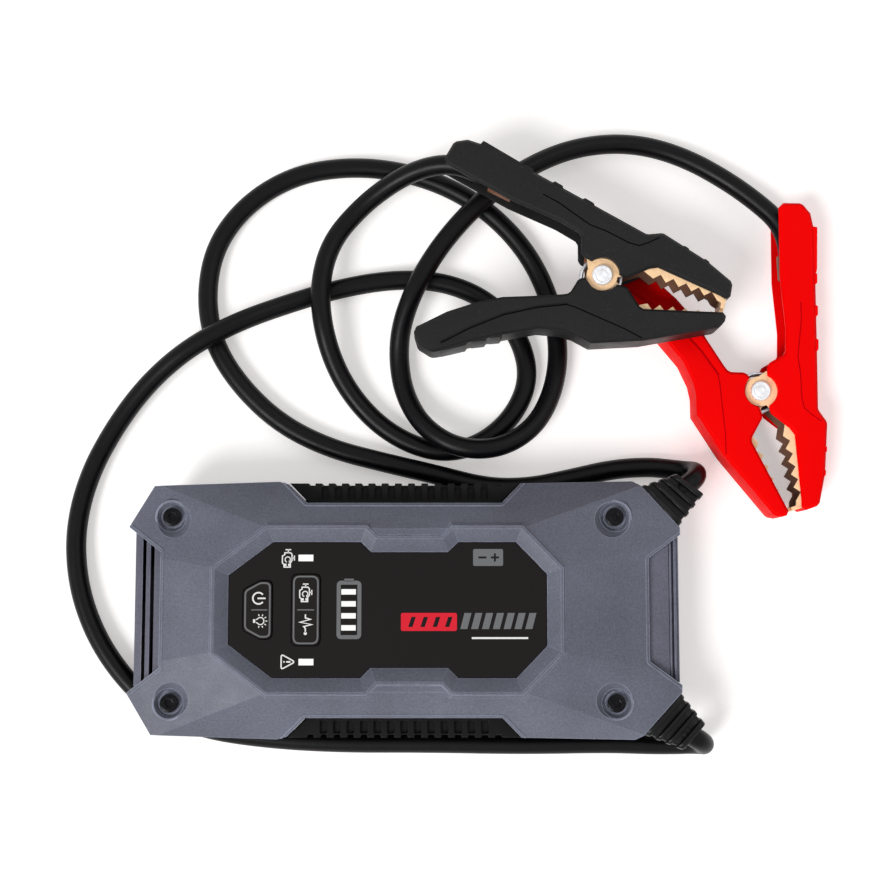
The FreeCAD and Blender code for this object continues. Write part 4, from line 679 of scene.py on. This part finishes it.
NEGATIVE_ROUTE = [
    (120.2, -51.9, 24), (125, -54.8, 24), (128.9, -57.2, 20.9), (131, -58.8, 16), (130.4, -59.3, 10.6),
    (126.7, -59.5, 6.4), (121.3, -59.9, 4.5), (110, -60, 4.5), (89, -59.3, 4.5), (52, -60, 4.5),
    (8, -59.2, 4.5), (-30, -59.3, 4.5), (-64, -57.2, 4.5), (-92, -52.8, 4.5), (-113.5, -43, 4.5),
    (-129, -27.5, 4.5), (-140.5, -9.5, 4.5), (-147.8, 11.5, 4.5), (-149.6, 35.5, 4.5), (-144, 60, 4.5),
    (-132, 83, 4.8), (-116.5, 102.5, 8.5), (-97.5, 117.5, 14), (-75.5, 129.2, 14), (-53.5, 138.9, 6),
    (-31, 146, 4.5), (-6, 150.3, 4.5), (17, 149.2, 4.5), (37, 140.8, 4.5), (51, 124.8, 4.5),
    (56.2, 105.5, 4.5), (49.5, 88, 4.5), (35.5, 75, 4.5), (18, 69.8, 4.5), (0, 74.6, 4.5), (-16.5, 86, 4.5),
    (-30, 103.5, 7), (-37.5, 124, 13.6), (-39.4, 145.5, 15), (-34.6, 166, 11.5), (-21.5, 181.5, 12.5),
    (-7, 191.5, 18), (7, 197, 24.4), (21.4, 197.6, 29.6), (35.38, 191.8, 30.3), (46.86, 186, 30.3)]


def make_cord(prefix, route):
    """The cord from its bush to its clamp."""
    row = [(x * MM, y * MM, z * MM) for x, y, z in route]
    cord = tube(prefix + "cord_line", [row], CORD_RADIUS, 7, "cord_black", "NURBS")
    spline = cord.data.splines[0]
    spline.order_u = 3
    spline.use_endpoint_u = True
    spline.resolution_u = 10
    seat(cord, prefix + "cord")


# Clamps
PLACE = {"positive_": (158.4, 96.8, 0.0, -74.0), "negative_": (86.0, 145.1, 20.3, -13.3)}
COIL_RADIUS, COIL_LOW, COIL_PITCH = 8.65, 6.4233, 2.15
COIL_START, COIL_END = -1.05306, 19.85235
COIL_PARTS = 150
SPRING_WIRE = 0.8
LOWER_LEG, UPPER_LEG = 39.45, 41.11


def clamp_frame(prefix):
    """Where a clamp's own frame lies: its rivet is at zero, and its nose points along u."""
    x, y, z, angle = PLACE[prefix]
    return Matrix.Translation(Vector((x, y, z)) * MM) @ Matrix.Rotation(math.radians(angle), 4, "Z")


def on_clamp(prefix, u, v, w):
    """A point given along, across and above a clamp in millimetres, in the object's frame in metres."""
    return clamp_frame(prefix) @ (Vector((u, v, w)) * MM)


def spring_leg(start, angle, reach):
    """Points along a straight end of the wire, ahead of its coil or, with a negative reach, behind it."""
    u, v, w = start
    return [(u - reach * share * math.sin(angle), v + reach * share * math.cos(angle), w)
            for share in (0.25, 0.5, 0.75, 1.0)]


def make_spring(prefix):
    """A torsion spring: a coil with a straight leg at each end."""
    climb = COIL_PITCH / (2 * math.pi)
    points = []
    for i in range(COIL_PARTS + 1):
        turned = (COIL_END - COIL_START) * i / COIL_PARTS
        a = COIL_START + turned
        points.append((COIL_RADIUS * math.cos(a), COIL_RADIUS * math.sin(a), COIL_LOW + turned * climb))
    lower = spring_leg(points[0], COIL_START, -LOWER_LEG)
    points = lower[::-1] + points + spring_leg(points[-1], COIL_END, UPPER_LEG)
    row = [on_clamp(prefix, *point) for point in points]
    coil = settled(tube(prefix + "spring_coil", [row], SPRING_WIRE, 3, "spring_steel"))
    coil.data.shade_smooth()
    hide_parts(prefix + "spring")
    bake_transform(coil)
    return coil


RIVET_RADIUS, RIVET_LOW, RIVET_HIGH = 2.6, 2.6, 17.4
RIVET_BELOW = [(3.6, -2.2), (4.15, -1.9), (4.35, -1.4), (4.35, 0.0), (RIVET_RADIUS, 0.0)]
RIVET_ABOVE = [(RIVET_RADIUS, 0.0), (4.45, 0.0), (4.45, 1.3), (4.3, 1.7), (3.95, 1.95), (3.5, 2.05),
               (3.15, 1.95), (2.9, 1.6), (2.6, 1.6), (2.3, 1.85), (0.5, 2.1)]


def make_rivet(prefix):
    """A rivet with a plain head below, and above a rolled head round its shaft's end."""
    profile = [(r, RIVET_LOW + h) for r, h in RIVET_BELOW] + [(r, RIVET_HIGH + h) for r, h in RIVET_ABOVE]
    rivet = swept(prefix + "rivet_form", profile, PLACE[prefix][:3], 48, "rivet_steel")
    return seat(rivet, prefix + "pivot_rivet")


# Screws, feet and the cover's wells
WELLS = [(x, y) for x in (-100.6, 90.7) for y in (39.8, -39.8)]
WELL_FLOOR = 32.6
WELL_RADIUS = 4.8
WELL_SLOPE = 3.0 / 3.4
CONE_RISE, LINING_RISE = 9.0, 1.9
LINING_INSIDE, LINING_OUTSIDE = 0.12, 0.7
SCREW = [(2, 15.6), (2, 32.6), (3.9, 32.6), (3.9, 34.3), (3.75, 34.75), (3.3, 35), (1.9, 35), (1.7, 34.85),
         (1.7, 33.4)]
SOCKET_RING, SOCKET_SHARE = 7, 0.92
FEET = [(x, y) for x in (-84.0, 84.0) for y in (-33.0, 33.0)]
FOOT = [(6.6, 0), (7.3, 0.25), (7.8, 0.9), (8, 1.4), (8, 2.5)]


def hexagon(ring, angle):
    """How far a screw's skin lies out at this angle: its socket has six sides, and its head is round."""
    if ring < SOCKET_RING:
        return 1.0
    wedge = (angle % (math.pi / 3)) - math.pi / 6
    return 1.0 / math.cos(wedge) * SOCKET_SHARE


def make_screws():
    heads = [swept("screw", SCREW, (x, y, 0), 48, "screw_steel", hexagon) for x, y in WELLS]
    seat(joined("cover_screw_set", heads), "cover_screws")


def make_feet():
    feet = [swept("foot", FOOT, (x, y, 0), 48, "black_rubber") for x, y in FEET]
    seat(joined("rubber_foot_set", feet), "rubber_feet")


def make_wells():
    """Round cones that smooth the screw wells, and the linings that close their walls."""
    cones = []
    linings = []
    low, high, top = WELL_FLOOR - 0.05, WELL_FLOOR + CONE_RISE, WELL_FLOOR + LINING_RISE
    mouth = WELL_RADIUS + WELL_SLOPE * (high - low)
    brim = WELL_RADIUS + WELL_SLOPE * (top - low)
    loop = [(WELL_RADIUS - LINING_INSIDE, low - 0.4), (brim - LINING_INSIDE, top),
            (brim + LINING_OUTSIDE, top), (WELL_RADIUS + LINING_OUTSIDE, low - 0.4)]
    for x, y in WELLS:
        cones.append(swept("cone", [(WELL_RADIUS, low), (mouth, high)], (x, y, 0), 72, "slate_plastic"))
        linings.append(swept("lining", loop, (x, y, 0), 72, "slate_plastic", hollow=True))
    ride_as(joined("screw_well_linings", linings), "case", "slate_plastic")
    return joined("well_cones", cones)


# Rims beside the cover's openings
NOTCH = [(-66.4, 70), (-42.2, 45.8), (41.8, 45.8), (64.9, 70)]
LEFT_BAY = [(-134.5, 46.7), (-104.5, 24.6), (-104.5, -24.6), (-134.5, -46.7)]
RIGHT_BAY = [(135, 43.5), (105, 21.9), (105, -21.9), (135, -43.5)]
RIM_OFF, RIM_STEP, RIM_TURN = 1.3, 0.8, 2.5
RIM_RADIUS, RIM_SUNK = 0.5, 0.2
ABOVE_ALL = 60.0
# The least upward part of the skin's normal where a bead still lies on it
RIM_LEVEL = 0.6


def make_rims(cover):
    """Beads that follow the cover's skin beside its notches and bays."""
    corners = [vertex.co for vertex in cover.data.vertices]
    skin = BVHTree.FromPolygons(corners, [face.vertices for face in cover.data.polygons])
    rows = []
    for outline in (NOTCH, [(x, -y) for x, y in NOTCH], LEFT_BAY, RIGHT_BAY):
        path = [Vector(point) for point in rounded(grown(outline, RIM_OFF), RIM_TURN, 4)]
        row = []
        for here, ahead in zip(path, path[1:]):
            steps = max(1, round((ahead - here).length / RIM_STEP))
            for k in range(steps):
                point = here.lerp(ahead, k / steps)
                place, normal = skin.ray_cast(Vector((point.x, point.y, ABOVE_ALL)) * MM, (0, 0, -1))[:2]
                if place and normal.z > RIM_LEVEL:
                    row.append(place - Vector((0, 0, RIM_SUNK * MM)))
        rows.append(row)
    rims = settled(tube("cover_rims", rows, RIM_RADIUS, 2, "slate_plastic"))
    smooth(rims, 60.0)
    ride_as(rims, "case", "slate_plastic")


# Side grips
GRIP_LEFT, GRIP_RIGHT = -42.01, 41.61
GRIP_BACK, GRIP_FRONT = 46.1, 54.85
GRIP_FLARE = 8.55
GRIP_LOW, GRIP_TOP = 10.6, 27.0
GRIP_SKIRT = 0.5
SKIRT_RISE = 3.0
TOOTH_PITCH, TOOTH_COUNT = 5.8, 15
GAP_HALF, GAP_DEPTH, GAP_SLOPE = 1.3, 1.3, 0.2
POCKET_HALF, POCKET_LONG, POCKET_DEPTH, POCKET_BACK = 1.55, 5.3, 1.7, 1.6
TONGUE_BACK, TONGUE_FRONT, TONGUE_SHORT = 43.8, 48.0, 6.0
TONGUE_LOW, TONGUE_TOP = 11.1, 23.85


def make_grip(node, side):
    """A toothed grip: pockets in its top, gaps down its front, a skirt below and a tongue into the case."""
    middle = (GRIP_LEFT + GRIP_RIGHT) / 2
    places = [middle + (i - (TOOTH_COUNT - 1) / 2) * TOOTH_PITCH for i in range(TOOTH_COUNT)]
    left, right = GRIP_LEFT - GRIP_FLARE, GRIP_RIGHT + GRIP_FLARE
    back = [(GRIP_RIGHT, GRIP_BACK), (GRIP_LEFT, GRIP_BACK)]
    front = [(left, GRIP_FRONT)]
    for x in places:
        front += [(x - GAP_HALF - GAP_SLOPE, GRIP_FRONT), (x - GAP_HALF, GRIP_FRONT - GAP_DEPTH),
                  (x + GAP_HALF, GRIP_FRONT - GAP_DEPTH), (x + GAP_HALF + GAP_SLOPE, GRIP_FRONT)]
    front.append((right, GRIP_FRONT))
    low_y = GRIP_BACK + POCKET_BACK
    pockets = [rounded(oblong(x - POCKET_HALF, low_y, x + POCKET_HALF, low_y + POCKET_LONG), 0.7, 4)
               for x in places[1:-1]]
    smooth_plan = [(left, GRIP_FRONT), (right, GRIP_FRONT)] + back
    skirt = [(x + math.copysign(GRIP_SKIRT, x), y) for x, y in grown(smooth_plan, -0.04)]
    floor_plan = [(GRIP_LEFT + 1, GRIP_BACK + 0.6), (GRIP_RIGHT - 1, GRIP_BACK + 0.6),
                  (GRIP_RIGHT + 3, GRIP_FRONT - 1.7), (GRIP_LEFT - 3, GRIP_FRONT - 1.7)]
    tongue = oblong(GRIP_LEFT + TONGUE_SHORT, TONGUE_BACK, GRIP_RIGHT - TONGUE_SHORT, TONGUE_FRONT)
    things = []
    for outlines, low, high, edge in (([front + back] + pockets, GRIP_LOW + 2, GRIP_TOP, 0.3),
                                      ([skirt], GRIP_LOW, GRIP_LOW + SKIRT_RISE, 0.3),
                                      ([floor_plan], GRIP_LOW + SKIRT_RISE, GRIP_TOP - POCKET_DEPTH, 0.1),
                                      ([tongue], TONGUE_LOW, TONGUE_TOP, 0.1)):
        turned = [[(x, side * y) for x, y in points] for points in outlines]
        things.append(plate("layer", turned, low, high, edge, SLOT_OF[node]))
    seat(joined(node + "_form", things), node)


# End pieces
def make_end(node, half, steps):
    """Pieces across an end, from (start, end, low, top, edge), each as wide as the end is there."""
    things = []
    for x0, x1, low, top, edge in steps:
        plan = [(x0, -half(x0)), (x1, -half(x1)), (x1, half(x1)), (x0, half(x0))]
        things.append(slab("step", plan, low, top, edge, "slate_dark"))
    seat(joined(node + "_form", things), node)


def make_louvre():
    """Three slats that step up the slope of the left bay, over a base."""
    outer, inner = -118.5, -104.8

    def half(x):
        return min(33.5, 24.23 + 0.736 * (-104.5 - x))

    def slope(x):
        return 21.5 + (x - outer) * 9.5 / (inner - outer)

    make_end("end_louvre", half, ((outer, inner, 19.5, 20.7, 0.3), (outer, -114.75, 19.7, slope, 0.3),
                                  (-113.15, -110.9, 19.7, slope, 0.3), (-109.05, inner, 19.7, slope, 0.3)))


def make_end_panel():
    """The right end's sloping plate, with two ribs that step down to its outer ledge."""
    inner = 105.3

    def half(x):
        return 21.53 + 0.72 * (x - 105.0)

    def slope(x):
        return 33.6 - (x - inner) * 0.28

    make_end("end_panel", half, ((inner, 118.8, 24.0, 27.6, 0.4), (inner, 114.15, 24.2, slope, 0.35),
                                 (114.4, 115.25, 24.2, 30.9, 0.25), (116.3, 117.5, 24.2, 30.0, 0.3),
                                 (117.5, 118.7, 24.2, 28.7, 0.3)))


# Panel and keys
LABEL = [(-74.9, 14.65), (-56.03, 28.8), (-18.58, 28.8), (-14.18, 24.5), (18.58, 24.5), (22.98, 28.8),
         (47.63, 28.8), (60.8, 15.18)]
LABEL_LOW = 39.4
POWER_KEY = [(-68.5, 8.45), (-61.4, 12.25), (-56.2, 12.25)]
BOOST_KEY = [(-47.8, 15), (-35.8, 15)]
KEY_LOW, KEY_CORNER = 39.2, 2.6
STATUS_BARS = [(-42, 22), (-41.6, -22)]
GAUGE_BARS = [(-23.7, (i - 1.5) * 5.07) for i in range(4)]
STATUS_SIZE, GAUGE_SIZE = (6.3, 2.7), (6.1, 2.2)
KEY_GAP, WINDOW_GAP = 0.25, 0.1


def both_sides(half):
    """A closed outline from its half with positive y."""
    return half + [(x, -y) for x, y in reversed(half)]


def bar(x, y, wide, high):
    """The outline of an oblong, from its middle."""
    return oblong(x - wide / 2, y - high / 2, x + wide / 2, y + high / 2)


def make_label():
    """The panel, with openings for the keys and the light bars."""
    outlines = [rounded(grown(both_sides(LABEL), -0.15), 1.2, 4)]
    for key in (POWER_KEY, BOOST_KEY):
        outlines.append(rounded(grown(both_sides(key), KEY_GAP), KEY_CORNER + 0.2, 6))
    outlines += [grown(bar(x, y, *STATUS_SIZE), WINDOW_GAP) for x, y in STATUS_BARS]
    outlines += [grown(bar(x, y, *GAUGE_SIZE), WINDOW_GAP) for x, y in GAUGE_BARS]
    seat(plate("label_panel_form", outlines, LABEL_LOW, LABEL_TOP, 0.15, "panel_plastic"), "label_panel")


def make_key(node, half):
    """A key with its round-cornered cap over the node's own flange and stems."""
    cap = plate("cap", [rounded(both_sides(half), KEY_CORNER, 6)], KEY_LOW, KEY_TOP, 0.35, "key_plastic")
    seat(joined(node + "_form", [cap, kept(node, (0, 0, KEY_LOW + 0.15), (0, 0, 1))]), node)


# Cord bushes
BUSH_BASE, BUSH_TIP = Vector((110.95, 44.55, 24.0)), Vector((124.5, 54.5, 24.0))
CHAMFER_ALONG = Vector((16.7, -18.3, 0.0)).normalized()
CHAMFER_OUT = (0.739, 0.674)
BUSH_GROOVE, BUSH_SOFTNESS = 2.3, 0.42
# The direction that each side's bush has turned to at its tip
BUSH_TURN = {1: 53.0, -1: 42.0}
BUSH_WIDTHS, BUSH_HEIGHTS = (24.4, 15.2), (13.6, 12.6)


def bush_stations():
    """Places along a bush and how far its skin lies below the ribs there."""
    stations = []
    for start, end in ((0.0, 0.16), (0.3, 0.43), (0.56, 0.69), (0.83, 1.0)):
        stations += [(start, 1.0), (start + 0.004, 0.3), (start + 0.014, 0.08), (start + 0.034, 0.0),
                     (end - 0.034, 0.0), (end - 0.014, 0.08), (end - 0.004, 0.3), (end, 1.0)]
    return stations


def bush_section(half_w, half_h, sunk, count=56):
    """Points round a soft-cornered section, whose grooves are deep in the middle and shallow at the sides."""
    points = []
    for i in range(count):
        a = 2 * math.pi * i / count
        c, s = math.cos(a), math.sin(a)
        across = math.copysign(abs(c) ** BUSH_SOFTNESS, c)
        up = math.copysign(abs(s) ** BUSH_SOFTNESS, s)
        deep = BUSH_GROOVE * sunk * (1.0 - across ** 4)
        points.append((across * (half_w - 0.8 * sunk), up * (half_h - 0.5 * sunk - deep)))
    return points


def make_bush(prefix, side):
    """A bush that turns and narrows from the case's chamfer to the cord, over the node's own inner part."""
    work = bmesh.new()
    rings = []
    turn = math.radians(BUSH_TURN[side])
    tip_along = Vector((math.sin(turn), -math.cos(turn), 0.0))
    for t, sunk in bush_stations():
        centre = BUSH_BASE.lerp(BUSH_TIP, t)
        along = CHAMFER_ALONG.lerp(tip_along, t).normalized()
        half_w = (BUSH_WIDTHS[0] * (1 - t) + BUSH_WIDTHS[1] * t) / 2
        half_h = (BUSH_HEIGHTS[0] * (1 - t) + BUSH_HEIGHTS[1] * t) / 2
        ring = []
        for across, up in bush_section(half_w, half_h, sunk):
            point = centre + along * across + Vector((0, 0, up))
            ring.append(work.verts.new(Vector((point.x, side * point.y, point.z)) * MM))
        rings.append(ring)
    for low, high in zip(rings, rings[1:]):
        band(work, low, high)
    work.faces.new(rings[0])
    work.faces.new(rings[-1])
    skin = finished(work, "bush_skin", "black_rubber", 50.0)
    node = prefix + "strain_relief"
    outwards = (CHAMFER_OUT[0], CHAMFER_OUT[1] * side, 0.0)
    inside = kept(node, (BUSH_BASE.x, side * BUSH_BASE.y, BUSH_BASE.z), outwards)
    return seat(joined(node + "_form", [skin, inside]), node)


# Clamp handles and jaws, in the clamps' own frame
CABLE_EDGE = [(-79.5, 33), (-76.5, 43), (-71, 45.3), (-63, 44.6), (-40, 38), (-14, 30.5), (15, 22),
              (21.7, 24.2), (43, 16.5), (56, 9.7)]
FREE_EDGE = [(-64.8, -50.3), (-62, -49.3), (-50, -42.4), (-37, -36), (-22, -29.5), (-12, -28)]
# Ribs: start, end, run of the first slope, rise after it and rise at the end
CABLE_RIBS = [(-65, -45, 1, 1.7, 0.9), (-44.6, -39.2, 0.9, 0.9, 0.85), (-30.3, -25.1, 0.9, 0.9, 0.8),
              (-15.7, -10.1, 0.9, 0.8, 0.7), (31.5, 34.5, 0.8, 0.4, 0.4), (41.5, 44.5, 0.8, 0.4, 0.4)]
FREE_RIBS = [(-61.6, -50.3, 1.5, 0.3, 1), (-49.2, -42.6, 0.8, 0.3, 1), (-41.8, -36.4, 0.8, 0.3, 0.9)]
CABLE_CREASE = [(-33.2, 28.7), (-25.6, 26.6), (-15.5, 22.3), (-10, 20.1), (-2, 18.9), (7.8, 16.3),
                (12.7, 16), (16.4, 18.3), (20.6, 21.6)]
FREE_CREASE = [(-61.6, -45.6), (-50.9, -36.5), (-37.9, -27.3), (-23.9, -20.6), (-12.2, -16.6),
               (-8.5, -16.9), (3.1, -19.1), (14.7, -21.3), (22.7, -23.5)]
TAIL_CUT = [(-42, 31), (-40, 30.3), (-24, 23.6), (-13, 20.4), (-9.2, 13), (-8.2, 6), (-6.6, 1.2), (-12, -2),
            (-44, 15)]
CLAMP_HEIGHT = 20.0
JAW_NOSE = 51.0
CABLE_SKIN, FREE_SKIN = 2.9, 4.2
EAR_LEVELS = [(2.55, 3.75), (16.25, 17.45)]
EAR_HOLE, EAR_RADIUS, EAR_EDGE = 2.7, 6.8, 0.15
EAR_WINDOW = 7.5
HANDLE_EDGE, JAW_EDGE, CRIMP_EDGE = 0.9, 0.18, 0.25
RIB_ROOT, RIB_INSET, RIB_EDGE, RIB_LAST_RUN = 1.2, 0.7, 0.35, 0.6
CREASE_WIDE, CREASE_SUNK, CREASE_THICK = 0.5, 0.1, 0.16
LINE_OF = {"clamp_black": "black_line", "red_plastic": "red_line"}


def height_on(line, u):
    """The height of a broken line at this place along it."""
    for (u0, v0), (u1, v1) in zip(line, line[1:]):
        if u0 <= u <= u1:
            return v0 + (v1 - v0) * (u - u0) / (u1 - u0)
    return line[-1][1]


def make_handle(prefix, half, material):
    """A handle with the ribs of its outer edge, and a darker line on its face that is painted shade for the
    crease's groove.
    """
    node = prefix + half + "_handle"
    line, ribs, crease, side = ((CABLE_EDGE, CABLE_RIBS, CABLE_CREASE, 1) if half == "cable" else
                                (FREE_EDGE, FREE_RIBS, FREE_CREASE, -1))
    walls = [(EAR_WINDOW, -1.0), (EAR_WINDOW, CLAMP_HEIGHT + 1.0)]
    window = swept("ear_window", walls, PLACE[prefix][:3], 72, material)
    things = [softened(node, HANDLE_EDGE, 4, 20.0, material, cutter=window, seated=False)]
    for start, end, run, rise_start, rise_end in ribs:
        points = [(u, height_on(line, u) + side * rise) for u, rise in (
            (start, -RIB_ROOT), (start, -0.1), (start + run, rise_start),
            (end - min(run, RIB_LAST_RUN), rise_end), (end, -0.1), (end, -RIB_ROOT))]
        rib = plate("rib", [rounded(points, RIB_EDGE, 3)], RIB_INSET, CLAMP_HEIGHT - RIB_INSET, RIB_EDGE,
                    material)
        rib.data.transform(clamp_frame(prefix))
        things.append(rib)
    drawn = Marks(CLAMP_HEIGHT - CREASE_SUNK, CREASE_THICK)
    drawn.line(crease, CREASE_WIDE)
    crease_line = drawn.build(node + "_line", LINE_OF[material], BODY_OF[node], SLOT_OF[node])
    crease_line.data.transform(clamp_frame(prefix))
    return [seat(joined(node + "_form", things), node), crease_line]


def tail_cutter(prefix):
    """The corner that a cable jaw's tail leaves free for the spring's leg."""
    cutter = plate("tail_cutter", [TAIL_CUT], -1.0, CLAMP_HEIGHT + 1.0, 0.0, "copper_plate")
    cutter.data.transform(clamp_frame(prefix))
    return cutter


def make_cable_jaw(prefix):
    """A cable jaw with round ears about its rivet holes."""
    node = prefix + "cable_jaw"
    things = [softened(node, JAW_EDGE, 2, 30.0, cutter=tail_cutter(prefix), seated=False)]
    for low, high in EAR_LEVELS:
        loop = [(EAR_HOLE, low), (EAR_RADIUS - EAR_EDGE, low), (EAR_RADIUS, low + EAR_EDGE),
                (EAR_RADIUS, high - EAR_EDGE), (EAR_RADIUS - EAR_EDGE, high), (EAR_HOLE, high)]
        things.append(swept("ear", loop, PLACE[prefix][:3], 64, "copper_plate", hollow=True))
    return shaded_inside(seat(joined(node + "_form", things), node), prefix, CABLE_SKIN)


def shaded_inside(jaw, prefix, skin):
    """The jaw darkened inside its channel and on its teeth's edges with a copper that is painted shade, and
    left bright in the skin near its faces.
    """
    jaw.data.materials.append(MATERIAL["copper_inner"])
    back = clamp_frame(prefix).inverted()
    for face in jaw.data.polygons:
        u, v, w = back @ face.center / MM
        if u < JAW_NOSE and skin < w < CLAMP_HEIGHT - skin:
            face.material_index = 1
    return jaw


def make_clamp(prefix, side, material, route):
    """A clamp, its cord and the cord's bush."""
    pieces = [make_rivet(prefix), make_spring(prefix), make_bush(prefix, side)]
    pieces += make_handle(prefix, "cable", material) + make_handle(prefix, "free", material)
    pieces.append(make_cable_jaw(prefix))
    pieces.append(shaded_inside(softened(prefix + "free_jaw", JAW_EDGE, 2, 30.0), prefix, FREE_SKIN))
    # The crimp takes the same darker copper that the jaws use as painted shade
    pieces.append(softened(prefix + "cable_crimp", CRIMP_EDGE, 2, 20.0, "copper_inner"))
    make_cord(prefix, route)


make_panel_marks()
make_power_marks()
make_boost_marks()
make_screws()
make_feet()
make_label()
make_key("power_button", POWER_KEY)
make_key("boost_button", BOOST_KEY)
make_grip("rear_grip", 1)
make_grip("front_grip", -1)
make_louvre()
make_end_panel()
make_rims(softened("top_cover", 0.9, 3, 7.0, cutter=make_wells()))
softened("bottom_shell", 0.7, 3, 20.0)
softened("port_door", 0.3, 2, 25.0)
softened("light_lens", 0.25, 2, 25.0)
make_clamp("positive_", 1, "red_plastic", POSITIVE_ROUTE)
make_clamp("negative_", -1, "clamp_black", NEGATIVE_ROUTE)

# Floor
FLOOR_HALF = 3.0
GLOW = 0.4


def make_floor():
    """White paper, lit a little more where it is seen, that keeps the shadow."""
    mesh = bpy.data.meshes.new("floor")
    corners = [(x, y, 0) for x, y in oblong(-FLOOR_HALF, -FLOOR_HALF, FLOOR_HALF, FLOOR_HALF)]
    mesh.from_pydata(corners, [], [(0, 1, 2, 3)])
    g = Graph("floor_paper")
    weave = g.noise(1.3, 3.0, 0.6)
    paper = g.mix(g.remap(weave), (0.93, 0.915, 0.905, 1.0), (0.97, 0.955, 0.945, 1.0))
    g.shade(Base_Color=paper, Roughness=0.9, Specular_IOR_Level=0.1, Emission_Color=(1.0, 0.975, 0.965, 1.0),
            Emission_Strength=g.math("MULTIPLY", g.seen(), GLOW))
    g.bump(weave, 0.05)
    mesh.materials.append(g.material)
    add("floor", mesh)


# Light
SKY = 0.38


def make_sky():
    """A sky that looks white, and lights the scene with less than that."""
    world = bpy.data.worlds.new("world")
    bpy.context.scene.world = world
    world.use_nodes = True
    sky = world.node_tree.nodes["Background"]
    sky.inputs["Color"].default_value = (1.0, 1.0, 1.0, 1.0)
    tree = Tree(world.node_tree)
    tree.put(sky.inputs["Strength"], tree.math("MULTIPLY_ADD", tree.seen(), 1.0 - SKY, SKY))


def make_sun(name, energy, location, angle):
    """A soft sun that shines from this place on the object."""
    data = bpy.data.lights.new(name, "SUN")
    data.energy = energy
    data.angle = angle
    sun = add(name, data)
    sun.location = location
    sun.rotation_euler = (-Vector(location)).to_track_quat("-Z", "Y").to_euler()


make_floor()
make_sky()
make_sun("key", 2.15, (-0.65, -0.65, 0.95), 0.45)
make_sun("fill", 0.25, (0.9, 0.6, 1.6), 0.6)

# Camera, where the photo's was, with its focal length in the photo's pixels
HALF_PICTURE, FOCAL_LENGTH = 440.0, 1500.0
camera_data = bpy.data.cameras.new("camera")
camera_data.sensor_width = 36.0
camera_data.lens = camera_data.sensor_width / 2 * FOCAL_LENGTH / HALF_PICTURE
camera = add("camera", camera_data)
camera.location = (0.0152, 0.0093, 0.6826)
camera.rotation_euler = (math.radians(5.63), 0.0, 0.0)
bpy.context.scene.camera = camera
bpy.context.scene.view_settings.view_transform = "Standard"
